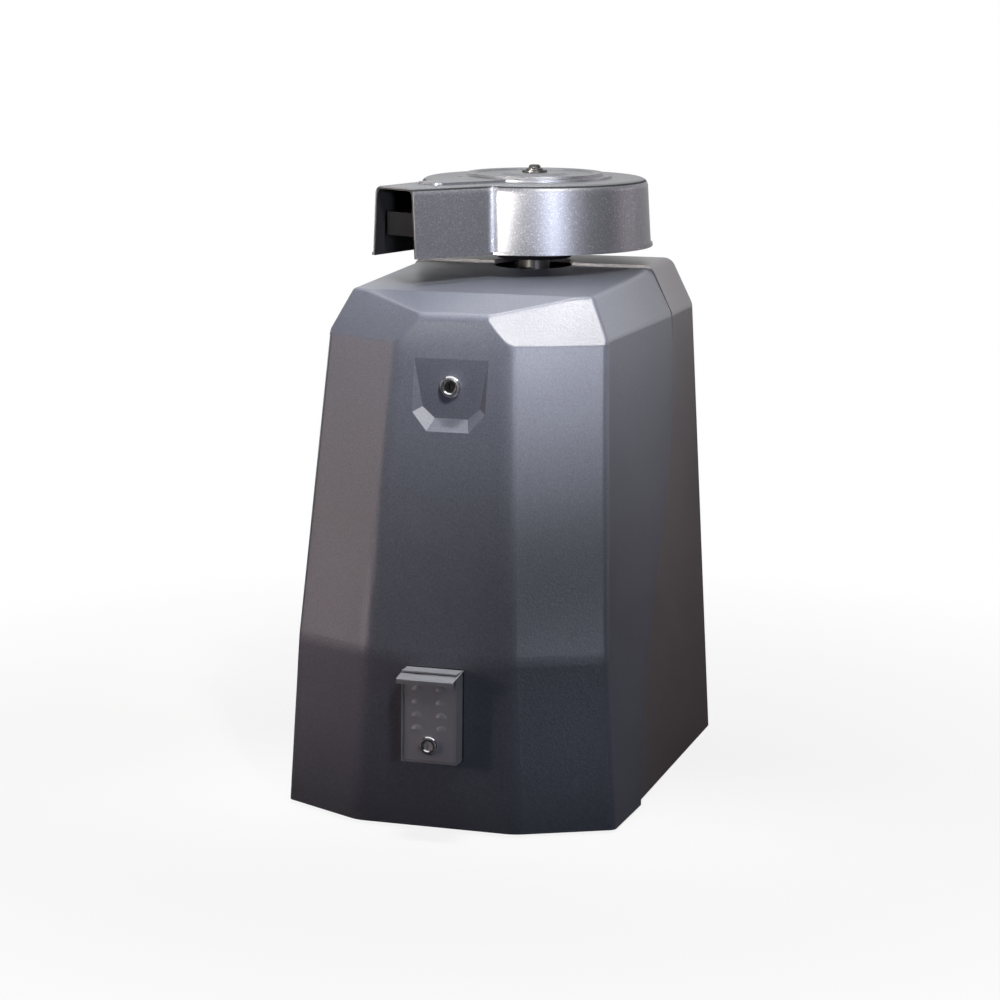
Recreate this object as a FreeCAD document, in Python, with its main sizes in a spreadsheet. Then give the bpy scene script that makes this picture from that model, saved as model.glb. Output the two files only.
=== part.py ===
"""Swing gate operator: a pedestal gearmotor under two moulded covers, with a crank arm on top.

Frame: millimetres, +Z up, the front faces -Y, and the origin is the centre of the anchor bolts
on the ground.  Every size is a cell of the sheet called Sizes, and the pieces follow those cells.
"""
import FreeCAD, Part
import math
import os
import Sketcher
from FreeCAD import Placement, Rotation, Vector

SIZES = {
    # moulded covers
    "cover_wall": 5.0,
    "lap_gap": 0.6,
    "lap_length": 24.0,
    "ground_gap": 3.0,
    "crown_height": 558.0,
    "crown_half_width": 137.0,
    "hip_drop": 49.0,
    "hip_flare": 24.5,
    "foot_flare": 31.0,
    "cover_draft": 2.0,
    "crown_round": 14.0,
    "hip_round": 18.0,
    "front_foot_reach": 247.4,
    "skirt_setback": 4.8,
    "skirt_height": 184.2,
    "skirt_round": 90.0,
    "brow_setback": 58.6,
    "brow_drop": 25.2,
    "brow_slope": 17.4,
    "brow_round": 12.0,
    "corner_angle": 27.0,
    "corner_foot_step": 12.5,
    "corner_skirt_setback": 8.4,
    "corner_brow_setback": 55.8,
    "corner_brow_drop": 55.0,
    "corner_brow_slope": 60.5,
    "front_crease_round": 40.0,
    "side_crease_round": 9.0,
    "facet_edge_round": 6.0,
    "seam_reach": 98.0,
    "seam_knee_height": 400.0,
    "seam_round": 330.0,
    "seam_lean": 31.2,
    "seam_heel_height": 105.0,
    "seam_heel_lean": 12.0,
    "seam_gap": 1.2,
    "seam_edge_round": 2.0,
    "rear_foot_reach": 247.5,
    "rear_setback": 41.0,
    "rear_foot_flare": 19.0,
    "rear_crown_rise": 3.0,
    "rear_edge_round": 18.0,
    "shaft_window_radius": 46.0,
    # lock recess in the front cover
    "recess_floor_step": 7.5,
    "recess_top_half_width": 41.7,
    "recess_top_drop": 63.0,
    "recess_side_half_width": 31.0,
    "recess_side_drop": 57.2,
    "recess_base_half_width": 18.0,
    "recess_base_drop": 11.5,
    "recess_bevel": 45.0,
    # cover lock
    "cover_lock_drop": 35.3,
    "cover_lock_bezel_radius": 11.25,
    "cover_lock_bezel_proud": 7.0,
    "cover_lock_body_radius": 9.5,
    "cover_lock_body_length": 24.3,
    "cover_lock_plug_radius": 5.8,
    "lock_nut_radius": 14.0,
    "lock_nut_thickness": 5.0,
    "lock_cam_thickness": 3.0,
    "cover_lock_cam_reach": 18.5,
    "cover_lock_cam_half_width": 8.0,
    "keyway_half_width": 0.8,
    "keyway_half_height": 3.4,
    "keyway_depth": 9.0,
    "slide_gap": 0.3,
    "running_gap": 0.15,
    # louvred station on the skirt
    "station_height_above_ground": 77.0,
    "station_half_width": 30.0,
    "station_depth": 21.0,
    "station_tall": 96.0,
    "station_sheet": 1.5,
    "station_gasket_thickness": 1.5,
    "station_gasket_lip": 1.2,
    "hood_reach": 35.0,
    "hood_lip": 6.0,
    "hood_fall": 5.0,
    "hood_overhang": 1.0,
    "panel_setback": 1.2,
    "panel_side_gap": 0.3,
    "panel_foot_gap": 0.5,
    "panel_top_gap": 3.8,
    "panel_bead_radius": 1.3,
    "panel_pin_radius": 0.9,
    "louvre_half_pitch": 13.2,
    "louvre_half_width": 6.2,
    "louvre_height": 5.5,
    "louvre_proud": 2.6,
    "louvre_skin": 0.9,
    "louvre_row_pitch": 13.9,
    "louvre_first_row": 37.3,
    "louvre_sink": 0.7,
    "station_lock_rise": 18.4,
    "station_lock_bezel_radius": 9.75,
    "station_lock_bezel_proud": 5.0,
    "station_lock_body_radius": 7.0,
    "station_lock_plug_radius": 4.6,
    "station_lock_cam_reach": 13.5,
    "station_lock_cam_half_width": 6.5,
    "station_catch_height": 7.5,
    "wire_hole_radius": 8.0,
    "wire_hole_rise": 40.0,
    "station_screw_half_x": 22.0,
    "station_screw_inset": 12.0,
    "station_screw_radius": 2.0,
    "station_screw_head": 3.6,
    "sounder_radius": 17.0,
    "sounder_thickness": 9.0,
    "sounder_rise": 66.0,
    # arm cover and crank
    "arm_heading": 27.5,
    "arm_gap": 22.0,
    "arm_cover_height": 75.0,
    "arm_cover_wall": 3.3,
    "arm_hub_cover_radius": 131.0,
    "arm_cover_draft": 3.5,
    "arm_channel_reach": 214.0,
    "arm_channel_half_width": 34.0,
    "arm_channel_spread": 12.0,
    "arm_cover_round": 9.0,
    "arm_throat_round": 14.0,
    "arm_lip": 2.0,
    "arm_lip_height": 3.0,
    "arm_panel_rise": 2.5,
    "arm_panel_radius": 87.0,
    "arm_panel_reach": 166.0,
    "arm_panel_half_width": 17.0,
    "arm_panel_spread": 11.0,
    "arm_disc_radius": 76.0,
    "arm_disc_rise": 3.0,
    "arm_dish_radius": 68.0,
    "arm_dish_depth": 2.0,
    "arm_boss_radius": 33.0,
    "arm_seat_radius": 22.0,
    "arm_bolt_radius": 6.0,
    "arm_bolt_head_radius": 6.7,
    "arm_bolt_head_height": 6.0,
    "arm_bolt_flange_radius": 9.4,
    "arm_washer_radius": 14.0,
    "arm_washer_thickness": 2.5,
    "arm_bolt_length": 38.0,
    "hub_radius": 45.0,
    "hub_height": 52.0,
    "hub_lift": 5.0,
    "hub_skirt": 19.0,
    "hub_seat_radius": 15.0,
    "crank_width": 58.0,
    "crank_height": 25.0,
    "crank_lift": 22.0,
    "crank_reach": 202.0,
    "crank_bolt_radius": 7.0,
    "crank_bolt_first": 120.0,
    "crank_bolt_spacing": 55.0,
    # output shaft and worm set
    "shaft_reach": 104.0,
    "shaft_radius": 17.5,
    "shaft_end_rise": 66.0,
    "wheel_height": 394.0,
    "wheel_teeth": 30,
    "tooth_module": 4.0,
    "wheel_width": 24.0,
    "wheel_hub_radius": 26.0,
    "pressure_angle": 20.0,
    "mesh_backlash": 2.2,
    "worm_pitch_radius": 20.0,
    "worm_thread_length": 50.0,
    "worm_core_half_length": 38.0,
    "worm_neck_radius": 10.0,
    "worm_phase": 274.0,
    "key_width": 8.0,
    "key_height": 7.0,
    "key_length": 36.0,
    # gearbox
    "shelf_top": 348.0,
    "case_radius": 80.0,
    "case_cavity_radius": 68.0,
    "case_floor": 21.0,
    "case_top": 432.0,
    "case_flange_half_width": 95.0,
    "case_flange_front": 40.0,
    "case_flange_back": 168.0,
    "case_flange_thickness": 10.0,
    "case_bolt_half_x": 86.0,
    "case_bolt_inset": 10.0,
    "lid_thickness": 8.0,
    "lid_boss_wall": 10.0,
    "shaft_bearing_radius": 36.0,
    "shaft_bearing_width": 17.0,
    "seal_radius": 26.0,
    "worm_bearing_radius": 26.0,
    "worm_bearing_width": 15.0,
    "worm_tube_radius": 34.0,
    "worm_tube_half_length": 86.0,
    "worm_cap_spigot": 9.0,
    "worm_cap_thickness": 5.0,
    "lid_bolt_circle": 74.0,
    # belt drive
    "belt_plane": 122.0,
    "pulley_width": 20.0,
    "driven_pulley_radius": 60.0,
    "motor_pulley_radius": 30.0,
    "groove_depth": 9.5,
    "groove_floor_half_width": 5.0,
    "groove_angle": 18.0,
    "belt_thickness": 7.0,
    "belt_half_width": 5.0,
    "belt_proud": 0.5,
    "belt_clearance": 12.0,
    "pulley_web_half": 4.0,
    "pulley_rim": 12.0,
    # motor
    "motor_reach": 75.0,
    "motor_height": 118.0,
    "motor_radius": 68.0,
    "motor_shell_wall": 5.0,
    "motor_left": 110.0,
    "motor_right": 60.0,
    "bell_length": 22.0,
    "bell_nose_radius": 30.0,
    "motor_shaft_radius": 8.0,
    "rotor_radius": 43.0,
    "air_gap": 0.6,
    "core_length": 90.0,
    "band_width": 20.0,
    "band_thickness": 2.5,
    "band_inset": 40.0,
    "saddle_width": 8.0,
    "saddle_inset": 16.0,
    "saddle_half_depth": 55.0,
    "mount_plate_thickness": 6.0,
    "saddle_rise": 82.0,
    "capacitor_radius": 22.0,
    "capacitor_height": 100.0,
    "capacitor_x": 112.0,
    "capacitor_reach": 138.0,
    # frame
    "plate_half_width": 155.0,
    "plate_half_depth": 200.0,
    "plate_thickness": 8.0,
    "plate_round": 12.0,
    "anchor_half_x": 136.0,
    "anchor_half_y": 180.0,
    "anchor_hole_radius": 7.0,
    "conduit_half_width": 45.0,
    "conduit_half_depth": 32.0,
    "conduit_centre": 112.0,
    "post_inner": 98.0,
    "post_sheet": 4.0,
    "post_front": 60.0,
    "post_back": 176.0,
    "post_flange": 26.0,
    "post_foot": 44.0,
    "post_foot_inset": 14.0,
    "frame_drop": 66.0,
    "cross_sheet": 6.0,
    "cross_drop": 36.0,
    "shelf_front": 10.0,
    "top_plate_front": 30.0,
    "frame_bolt_radius": 4.0,
    "frame_bolt_head_radius": 7.5,
    "frame_bolt_head_height": 5.0,
    "frame_bolt_inset": 22.0,
    "frame_bolt_drop": 18.0,
    "flange_bearing_radius": 55.0,
    "flange_bearing_thickness": 8.0,
    "flange_bearing_boss_radius": 36.0,
    "flange_bearing_height": 22.0,
    "flange_bolt_circle": 46.0,
    "rear_bracket_half_x": 70.0,
    "rear_bracket_width": 30.0,
    "rear_bracket_sheet": 4.0,
    "rear_bracket_height": 46.0,
    "rear_bracket_foot": 160.0,
    "rear_screw_radius": 2.5,
    "rear_screw_head": 6.0,
    "rear_screw_head_height": 3.0,
    "rear_screw_length": 14.0,
    # limit cams and switches
    "cam_radius": 28.0,
    "cam_lobe_radius": 36.0,
    "cam_lobe_half_width": 10.0,
    "cam_thickness": 8.0,
    "cam_first_height": 447.0,
    "cam_pitch": 16.0,
    "switch_half_width": 14.0,
    "switch_depth": 20.0,
    "switch_height": 10.0,
    "switch_gap": 1.2,
    "switch_bracket_sheet": 3.0,
    "switch_bracket_half_width": 20.0,
    "switch_bracket_tab": 12.0,
    # controls
    "control_half_width": 94.0,
    "control_setback": 19.0,
    "control_depth": 90.0,
    "control_bottom": 245.0,
    "control_top": 425.0,
    "control_sheet": 2.0,
    "arm_bar_bottom": 258.0,
    "arm_bar_height": 40.0,
    "arm_bar_front": 150.0,
    "arm_bar_back": 120.0,
    "board_half_width": 78.0,
    "board_edge": 16.0,
    "board_thickness": 1.6,
    "standoff_length": 10.0,
    "standoff_radius": 4.0,
    "standoff_inset": 8.0,
    "relay_width": 28.0,
    "relay_height": 24.0,
    "relay_depth": 22.0,
    "relay_pitch": 44.0,
    "relay_rise": 100.0,
    "terminal_half_width": 66.0,
    "terminal_height": 14.0,
    "terminal_depth": 14.0,
    "transformer_width": 60.0,
    "transformer_depth": 44.0,
    "transformer_height": 50.0,
    "transformer_x": 15.0,
    # catch for the cover lock
    "catch_half_width": 20.0,
    "catch_sheet": 4.0,
    "catch_back": 82.0,
    "catch_drop": 16.0,
    "catch_gap": 1.0,
    "catch_bolt_reach": 40.0,
}

doc = FreeCAD.newDocument("swing_gate_operator")
sheet = doc.addObject("Spreadsheet::Sheet", "Sizes")
for row, (alias, number) in enumerate(SIZES.items(), start=1):
    sheet.set(f"A{row}", alias)
    sheet.set(f"B{row}", str(number))
    sheet.setAlias(f"B{row}", alias)
doc.recompute()


class Dim:
    """A number together with the sheet expression that it is worked out from."""

    def __init__(self, value, text=None):
        self.value = float(value)
        self.text = f"({self.value!r})" if text is None else text

    def join(self, other, sign, value):
        return Dim(value, f"({self.text} {sign} {other.text})")

    def __add__(self, other):
        other = dim(other)
        return self.join(other, "+", self.value + other.value)

    def __sub__(self, other):
        other = dim(other)
        return self.join(other, "-", self.value - other.value)

    def __mul__(self, other):
        other = dim(other)
        return self.join(other, "*", self.value * other.value)

    def __truediv__(self, other):
        other = dim(other)
        return self.join(other, "/", self.value / other.value)

    def __radd__(self, other):
        return dim(other) + self

    def __rsub__(self, other):
        return dim(other) - self

    def __rmul__(self, other):
        return dim(other) * self

    def __neg__(self):
        return Dim(-self.value, f"(-1 * {self.text})")


def dim(number):
    return number if isinstance(number, Dim) else Dim(number)


def trig(name, angle):
    angle = dim(angle)
    value = getattr(math, name)(math.radians(angle.value))
    return Dim(value, f"{name}({angle.text} * 1 deg)")


def sin(angle):
    return trig("sin", angle)


def cos(angle):
    return trig("cos", angle)


def tan(angle):
    return trig("tan", angle)


def root(number):
    number = dim(number)
    return Dim(math.sqrt(number.value), f"sqrt({number.text})")


def angle_of(rise, run):
    """The slope angle, in degrees, of a line that rises by rise over run."""
    rise = dim(rise)
    run = dim(run)
    return Dim(math.degrees(math.atan2(rise.value, run.value)), f"(atan2({rise.text}; {run.text}) / 1 deg)")


class Cells:
    """The sheet's cells by name."""

    def __getattr__(self, alias):
        return Dim(SIZES[alias], f"Sizes.{alias}")


size = Cells()
size.hip_height = size.crown_height - size.hip_drop
size.hip_half_width = size.crown_half_width + size.hip_flare
size.foot_half_width = size.hip_half_width + size.foot_flare
size.rear_foot_half_width = size.hip_half_width + size.rear_foot_flare
size.rear_crown_reach = size.rear_foot_reach - size.rear_setback
size.front_skirt_reach = size.front_foot_reach - size.skirt_setback
size.brow_reach = size.front_skirt_reach - size.brow_setback
size.brow_height = size.crown_height - size.brow_drop
size.corner_foot_reach = size.front_foot_reach + size.corner_foot_step
size.corner_skirt_reach = size.corner_foot_reach - size.corner_skirt_setback
size.corner_brow_reach = size.corner_skirt_reach - size.corner_brow_setback
size.corner_brow_height = size.crown_height - size.corner_brow_drop
size.recess_floor_reach = size.brow_reach + size.recess_floor_step
size.recess_top_height = size.crown_height - size.recess_top_drop
size.recess_side_height = size.recess_top_height - size.recess_side_drop
size.recess_base_height = size.recess_side_height - size.recess_base_drop
size.cover_lock_height = size.recess_top_height - size.cover_lock_drop
size.arm_rim_height = size.crown_height + size.arm_gap
size.shaft_end_height = size.arm_rim_height + size.shaft_end_rise
size.frame_top = size.crown_height - size.frame_drop
size.control_front = size.brow_reach - size.control_setback
size.control_back = size.control_front - size.control_depth

UPRIGHT = Rotation()
ALONG_X = Rotation(Vector(0, 1, 0), 90)
ALONG_Y = Rotation(Vector(1, 0, 0), -90)
FACING_FRONT = Rotation(Vector(1, 0, 0), 90)
FORWARD_PROFILE = Rotation(Vector(0, 0, 1), -90).multiply(FACING_FRONT)


def bind(obj, **values):
    """Tie properties of an object to sheet expressions."""
    for name, value in values.items():
        obj.setExpression(name, dim(value).text)


def place(obj, at=(0, 0, 0), turn=UPRIGHT):
    """Place an object, with each coordinate tied to its expression."""
    at = [dim(value) for value in at]
    obj.Placement = Placement(Vector(*[value.value for value in at]), turn)
    for axis, value in zip("xyz", at):
        obj.setExpression(f".Placement.Base.{axis}", value.text)
    return obj


def pin(sketch, geometry, vertex, u, v):
    """Fix a point of a sketch at u, v from the sketch's origin."""
    for kind, value in (("DistanceX", dim(u)), ("DistanceY", dim(v))):
        index = sketch.addConstraint(Sketcher.Constraint(kind, -1, 1, geometry, vertex, value.value))
        sketch.setExpression(f"Constraints[{index}]", value.text)


def tangent_points(before, corner, after, radius):
    """Where an arc of that radius leaves the two sides that meet at a corner, and its centre."""
    inward = (before - corner).normalize()
    outward = (after - corner).normalize()
    half = inward.getAngle(outward) / 2
    reach = radius / math.tan(half)
    centre = corner + (inward + outward).normalize() * (radius / math.sin(half))
    return corner + inward * reach, corner + outward * reach, centre


def draw(sketch, corners):
    """A closed outline through corners (u, v), with an arc at each corner that gives a radius."""
    points = [Vector(dim(c[0]).value, dim(c[1]).value, 0) for c in corners]
    count = len(corners)
    entries = []
    for i, corner in enumerate(corners):
        if len(corner) == 3:
            entries.append(tangent_points(points[i - 1], points[i], points[(i + 1) % count],
                                          dim(corner[2]).value))
        else:
            entries.append((points[i], points[i], None))
    lines = []
    for i in range(count):
        start = entries[i][1]
        end = entries[(i + 1) % count][0]
        lines.append(sketch.addGeometry(Part.LineSegment(start, end), False))
    for i, corner in enumerate(corners):
        line_in = lines[i - 1]
        line_out = lines[i]
        start, end, centre = entries[i]
        if centre is None:
            sketch.addConstraint(Sketcher.Constraint("Coincident", line_in, 2, line_out, 1))
            pin(sketch, line_out, 1, corner[0], corner[1])
            continue
        radius = dim(corner[2])
        left_turn = (points[i] - points[i - 1]).cross(points[(i + 1) % count] - points[i]).z > 0
        first, last = (start, end) if left_turn else (end, start)
        circle = Part.Circle(centre, Vector(0, 0, 1), radius.value)
        angles = [math.atan2(p.y - centre.y, p.x - centre.x) for p in (first, last)]
        arc = sketch.addGeometry(Part.ArcOfCircle(circle, *angles), False)
        tip = sketch.addGeometry(Part.Point(points[i]), True)
        near, far = (1, 2) if left_turn else (2, 1)
        sketch.addConstraint(Sketcher.Constraint("Tangent", line_in, 2, arc, near))
        sketch.addConstraint(Sketcher.Constraint("Tangent", line_out, 1, arc, far))
        sketch.addConstraint(Sketcher.Constraint("PointOnObject", tip, 1, line_in))
        sketch.addConstraint(Sketcher.Constraint("PointOnObject", tip, 1, line_out))
        pin(sketch, tip, 1, corner[0], corner[1])
        index = sketch.addConstraint(Sketcher.Constraint("Radius", arc, radius.value))
        sketch.setExpression(f"Constraints[{index}]", radius.text)


def outline(name, corners, at=(0, 0, 0), turn=UPRIGHT):
    """A closed outline on its own plane."""
    sketch = doc.addObject("Sketcher::SketchObject", name)
    place(sketch, at, turn)
    draw(sketch, corners)
    return sketch


def extrude(name, sketch, length, both_ways=False, taper=0):
    """A prism from an outline, along the normal of its plane."""
    solid = doc.addObject("Part::Extrusion", name)
    solid.Base = sketch
    solid.DirMode = "Normal"
    solid.Solid = True
    solid.Symmetric = both_ways
    bind(solid, LengthFwd=length, TaperAngle=taper)
    return solid


def common(name, solids):
    """What all the solids share."""
    shared = doc.addObject("Part::MultiCommon", name)
    shared.Shapes = solids
    return shared


def fuse(name, solids):
    """One solid from several that overlap or touch."""
    joined = doc.addObject("Part::MultiFuse", name)
    joined.Shapes = solids
    joined.Refine = True
    return joined


def group(name, solids):
    """Separate solids that share a name."""
    together = doc.addObject("Part::Compound", name)
    together.Links = solids
    return together


def cut(name, base, tools):
    """A solid with the tools taken away from it."""
    taken = tools[0] if len(tools) == 1 else group(f"{name}_tools", tools)
    rest = doc.addObject("Part::Cut", name)
    rest.Base = base
    rest.Tool = taken
    return rest


def cylinder(name, radius, length, at, turn=UPRIGHT):
    solid = doc.addObject("Part::Cylinder", name)
    bind(solid, Radius=radius, Height=length)
    return place(solid, at, turn)


def block(name, x, y, z):
    """A box between two limits along each axis."""
    solid = doc.addObject("Part::Box", name)
    spans = [(dim(low), dim(high)) for low, high in (x, y, z)]
    bind(solid, Length=spans[0][1] - spans[0][0], Width=spans[1][1] - spans[1][0],
         Height=spans[2][1] - spans[2][0])
    return place(solid, [low for low, high in spans])


def both(half):
    """The limits of something that reaches half to either side of the middle."""
    return -dim(half), dim(half)


def body_sketch(body, name, role, lift=0):
    """A sketch on one of the origin planes of a body, lifted off it along its normal."""
    sketch = body.newObject("Sketcher::SketchObject", name)
    support = next(plane for plane in body.Origin.OriginFeatures if plane.Role == role)
    sketch.AttachmentSupport = [(support, "")]
    sketch.MapMode = "FlatFace"
    sketch.setExpression(".AttachmentOffset.Base.z", dim(lift).text)
    return sketch


def turned(name, profile, at=(0, 0, 0), turn=UPRIGHT):
    """A round piece: a profile of radius against length, turned about its own axis."""
    body = doc.addObject("PartDesign::Body", name)
    sketch = body_sketch(body, f"{name}_profile", "XZ_Plane")
    draw(sketch, profile)
    spun = body.newObject("PartDesign::Revolution", f"{name}_turned")
    spun.Profile = sketch
    spun.ReferenceAxis = (sketch, ["V_Axis"])
    spun.Angle = 360
    return place(body, at, turn)


def ring(name, inside, outside, length, at=(0, 0, 0), turn=UPRIGHT):
    """A plain ring or tube."""
    return turned(name, [(inside, 0), (outside, 0), (outside, length), (inside, length)], at, turn)


def padded(name, corners, thickness, at=(0, 0, 0), turn=UPRIGHT, holes=()):
    """A flat piece: an outline padded to a thickness, with round holes (u, v, radius) through it."""
    body = doc.addObject("PartDesign::Body", name)
    sketch = body_sketch(body, f"{name}_outline", "XY_Plane")
    draw(sketch, corners)
    pad = body.newObject("PartDesign::Pad", f"{name}_pad")
    pad.Profile = sketch
    bind(pad, Length=thickness)
    if holes:
        drill = body_sketch(body, f"{name}_holes", "XY_Plane")
        for u, v, radius in holes:
            centre = Vector(dim(u).value, dim(v).value, 0)
            circle = drill.addGeometry(Part.Circle(centre, Vector(0, 0, 1), dim(radius).value), False)
            pin(drill, circle, 3, u, v)
            index = drill.addConstraint(Sketcher.Constraint("Radius", circle, dim(radius).value))
            drill.setExpression(f"Constraints[{index}]", dim(radius).text)
        pocket = body.newObject("PartDesign::Pocket", f"{name}_drilled")
        pocket.Profile = drill
        pocket.Type = "ThroughAll"
        pocket.Midplane = True
    return place(body, at, turn)


def rectangle(half_width, half_height, radius=None):
    """The corners of a rectangle about the origin, rounded if a radius is given."""
    signs = ((1, -1), (1, 1), (-1, 1), (-1, -1))
    corners = [(half_width * across, half_height * up) for across, up in signs]
    return corners if radius is None else [(*corner, radius) for corner in corners]


def bolt(name, radius, head_radius, head_height, length, at, turn=UPRIGHT):
    """A hexagon bolt whose head stands on the given point and whose shank runs back from it."""
    head = doc.addObject("Part::Prism", f"{name}_head")
    head.Polygon = 6
    bind(head, Circumradius=head_radius, Height=head_height)
    shank = cylinder(f"{name}_shank", radius, length, (0, 0, -length))
    return place(fuse(name, [head, shank]), at, turn)


def screw(name, radius, head_radius, head_height, length, at, turn=UPRIGHT):
    """A round-headed screw whose head stands on the given point."""
    profile = [(0, -length), (radius, -length), (radius, 0), (head_radius, 0),
               (head_radius, head_height, head_height * 0.8), (0, head_height)]
    return turned(name, profile, at, turn)


def softened(name, base, picks):
    """A solid with its edges rounded: picks are pairs of a radius and a test of an edge."""
    doc.recompute()
    rounded = doc.addObject("Part::Fillet", name)
    rounded.Base = base
    edges = []
    for number, edge in enumerate(base.Shape.Edges, start=1):
        middle, turn_angle = edge_facts(base.Shape, edge)
        radius = next((value for value, test in picks if test(middle, turn_angle)), None)
        if radius is not None:
            edges.append((number, radius, radius))
    rounded.Edges = edges
    return rounded


def edge_facts(shape, edge):
    """The middle of an edge, and the angle by which its two faces turn there."""
    middle = edge.valueAt((edge.FirstParameter + edge.LastParameter) / 2)
    normals = []
    for face in shape.ancestorsOfType(edge, Part.Face):
        normals.append(face.normalAt(*face.Surface.parameter(middle)))
    turn_angle = math.degrees(normals[0].getAngle(normals[-1]))
    return middle, turn_angle


pieces = {}


def piece(name, solid):
    """Keep a finished piece under its own name."""
    solid.Label = name
    pieces[name] = solid
    return solid


# moulded covers
PAST = 40


def mitre(inset, first_slope, second_slope):
    """How far a corner moves in and down when the two sides that meet there move in by inset.

    A side's slope is the angle of its outward normal above the horizontal.
    """
    share = inset / (1 + cos(first_slope - second_slope))
    return share * (cos(first_slope) + cos(second_slope)), share * (sin(first_slope) + sin(second_slope))


def cover_section(inset, foot_half, crown_rise=0):
    """A cover seen from the front: side, hip and crown, moved in by inset all round."""
    crown_half = size.crown_half_width
    crown_height = size.crown_height + crown_rise
    hip_half = size.hip_half_width
    hip_normal = angle_of(hip_half - crown_half, crown_height - size.hip_height)
    side_normal = angle_of(foot_half - hip_half, size.hip_height)
    crown_x, crown_z = mitre(inset, dim(90), hip_normal)
    hip_x, hip_z = mitre(inset, hip_normal, side_normal)
    foot_x = foot_half + PAST * tan(side_normal) - inset / cos(side_normal)
    right = [
        (foot_x, dim(-PAST)),
        (hip_half - hip_x, size.hip_height - hip_z, size.hip_round),
        (crown_half - crown_x, crown_height - crown_z, size.crown_round),
    ]
    left = [(-corner[0], *corner[1:]) for corner in reversed(right)]
    return right + left


def front_profile(inset, foot, skirt, brow, brow_height, brow_slope, brow_round, back):
    """One front facet seen from its side, as reach against height, from the foot to above the crown."""
    skirt_normal = angle_of(foot - skirt, size.skirt_height)
    face_normal = angle_of(skirt - brow, brow_height - size.skirt_height)
    skirt_x, skirt_z = mitre(inset, skirt_normal, face_normal)
    brow_x, brow_z = mitre(inset, face_normal, 90 - brow_slope)
    top = size.crown_height + PAST
    brow_end = (brow - brow_x, brow_height - brow_z)
    foot_height = size.ground_gap if inset.value == 0 else dim(-PAST)
    rise = top - brow_end[1]
    return [
        (foot - inset / cos(skirt_normal) - foot_height * tan(skirt_normal), foot_height),
        (skirt - skirt_x, size.skirt_height - skirt_z, size.skirt_round),
        brow_end if brow_round is None else (*brow_end, brow_round),
        (brow_end[0] - rise / tan(brow_slope), top),
        *back(top, foot_height),
    ]


def seam(top, foot_height, lap):
    """The curved edge down the side where the covers meet, seen from the side."""
    knee = -size.seam_reach + lap
    heel = knee + (size.seam_knee_height - size.seam_heel_height) * tan(size.seam_lean)
    foot = heel + (size.seam_heel_height - foot_height) * tan(size.seam_heel_lean)
    return [
        (knee, top),
        (knee, size.seam_knee_height, size.seam_round),
        (heel, size.seam_heel_height, size.seam_round),
        (foot, foot_height),
    ]


def far_back(top, foot_height):
    back = -size.rear_foot_reach - PAST
    return [(back, top), (back, foot_height)]


def front_cover_form(name, inset):
    """The front cover as a solid, moved in by inset: the section cut by three facet profiles."""
    width = size.foot_half_width * 3
    section = outline(f"{name}_section", cover_section(inset, size.foot_half_width),
                      (0, size.seam_reach, 0), FACING_FRONT)
    depth = size.seam_reach + size.front_foot_reach + PAST
    solids = [extrude(f"{name}_body", section, depth, taper=-size.cover_draft)]
    closing = far_back if inset.value else (lambda top, foot_height: seam(top, foot_height, 0))
    middle = front_profile(inset, size.front_foot_reach, size.front_skirt_reach, size.brow_reach,
                           size.brow_height, size.brow_slope, size.brow_round, closing)
    sketch = outline(f"{name}_middle", middle, turn=FORWARD_PROFILE)
    solids.append(extrude(f"{name}_middle_prism", sketch, width, both_ways=True))
    corner = front_profile(inset, size.corner_foot_reach, size.corner_skirt_reach, size.corner_brow_reach,
                           size.corner_brow_height, size.corner_brow_slope, None, far_back)
    for side, sign in (("right", 1), ("left", -1)):
        turn = Rotation(Vector(0, 0, 1), sign * size.corner_angle.value).multiply(FORWARD_PROFILE)
        sketch = outline(f"{name}_{side}", corner, turn=turn)
        solids.append(extrude(f"{name}_{side}_prism", sketch, width, both_ways=True))
    return common(name, solids)


def rear_prism(name, section, side):
    """A section drawn from the back to the front, cut by an outline seen from the side."""
    sketch = outline(f"{name}_section", section, (0, size.rear_foot_reach + PAST, 0), FACING_FRONT)
    length = extrude(f"{name}_body", sketch, size.rear_foot_reach + size.front_foot_reach + 2 * PAST)
    profile = outline(f"{name}_side", side, turn=FORWARD_PROFILE)
    prism = extrude(f"{name}_side_prism", profile, size.foot_half_width * 3, both_ways=True)
    return common(name, [length, prism])


def rear_cover_form(name, inset):
    """The rear cover behind the seam as a solid, moved in by inset."""
    top = size.crown_height + PAST
    foot_height = size.ground_gap if inset.value == 0 else dim(-PAST)
    lean = rear_lean()
    shift = inset / cos(lean) - size.rear_foot_reach
    back = [(shift + foot_height * tan(lean), foot_height), (shift + top * tan(lean), top)]
    section = cover_section(inset, size.rear_foot_half_width, size.rear_crown_rise)
    return rear_prism(name, section, back + seam(top, foot_height, -size.seam_gap - inset))


def rear_tongue_form(name, inset, web):
    """The tongue of the rear cover that reaches forward inside the front cover, moved in by inset."""
    top = size.crown_height + PAST
    foot_height = size.ground_gap if inset.value == 0 else dim(-PAST)
    lap = size.cover_wall + size.lap_length * tan(size.cover_draft) + size.lap_gap
    foot_run = (size.seam_knee_height - size.seam_heel_height) * tan(size.seam_lean)
    foot_run = foot_run + size.seam_heel_height * tan(size.seam_heel_lean) + size.lap_length
    foot_half = size.foot_half_width - foot_run * tan(size.cover_draft) - 2 * size.lap_gap
    front = seam(top, foot_height, size.lap_length + inset)
    back = seam(top, foot_height, -size.seam_gap - web)
    return rear_prism(name, cover_section(lap + inset, foot_half), front + back[::-1])


def rear_lean():
    """How far the back wall leans forward, in degrees."""
    return angle_of(size.rear_foot_reach - size.rear_crown_reach, size.crown_height)


def rear_wall_inside(height):
    """Where the inner face of the back wall stands at a height."""
    return size.rear_foot_reach - height * tan(rear_lean()) - size.cover_wall / cos(rear_lean())


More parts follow.
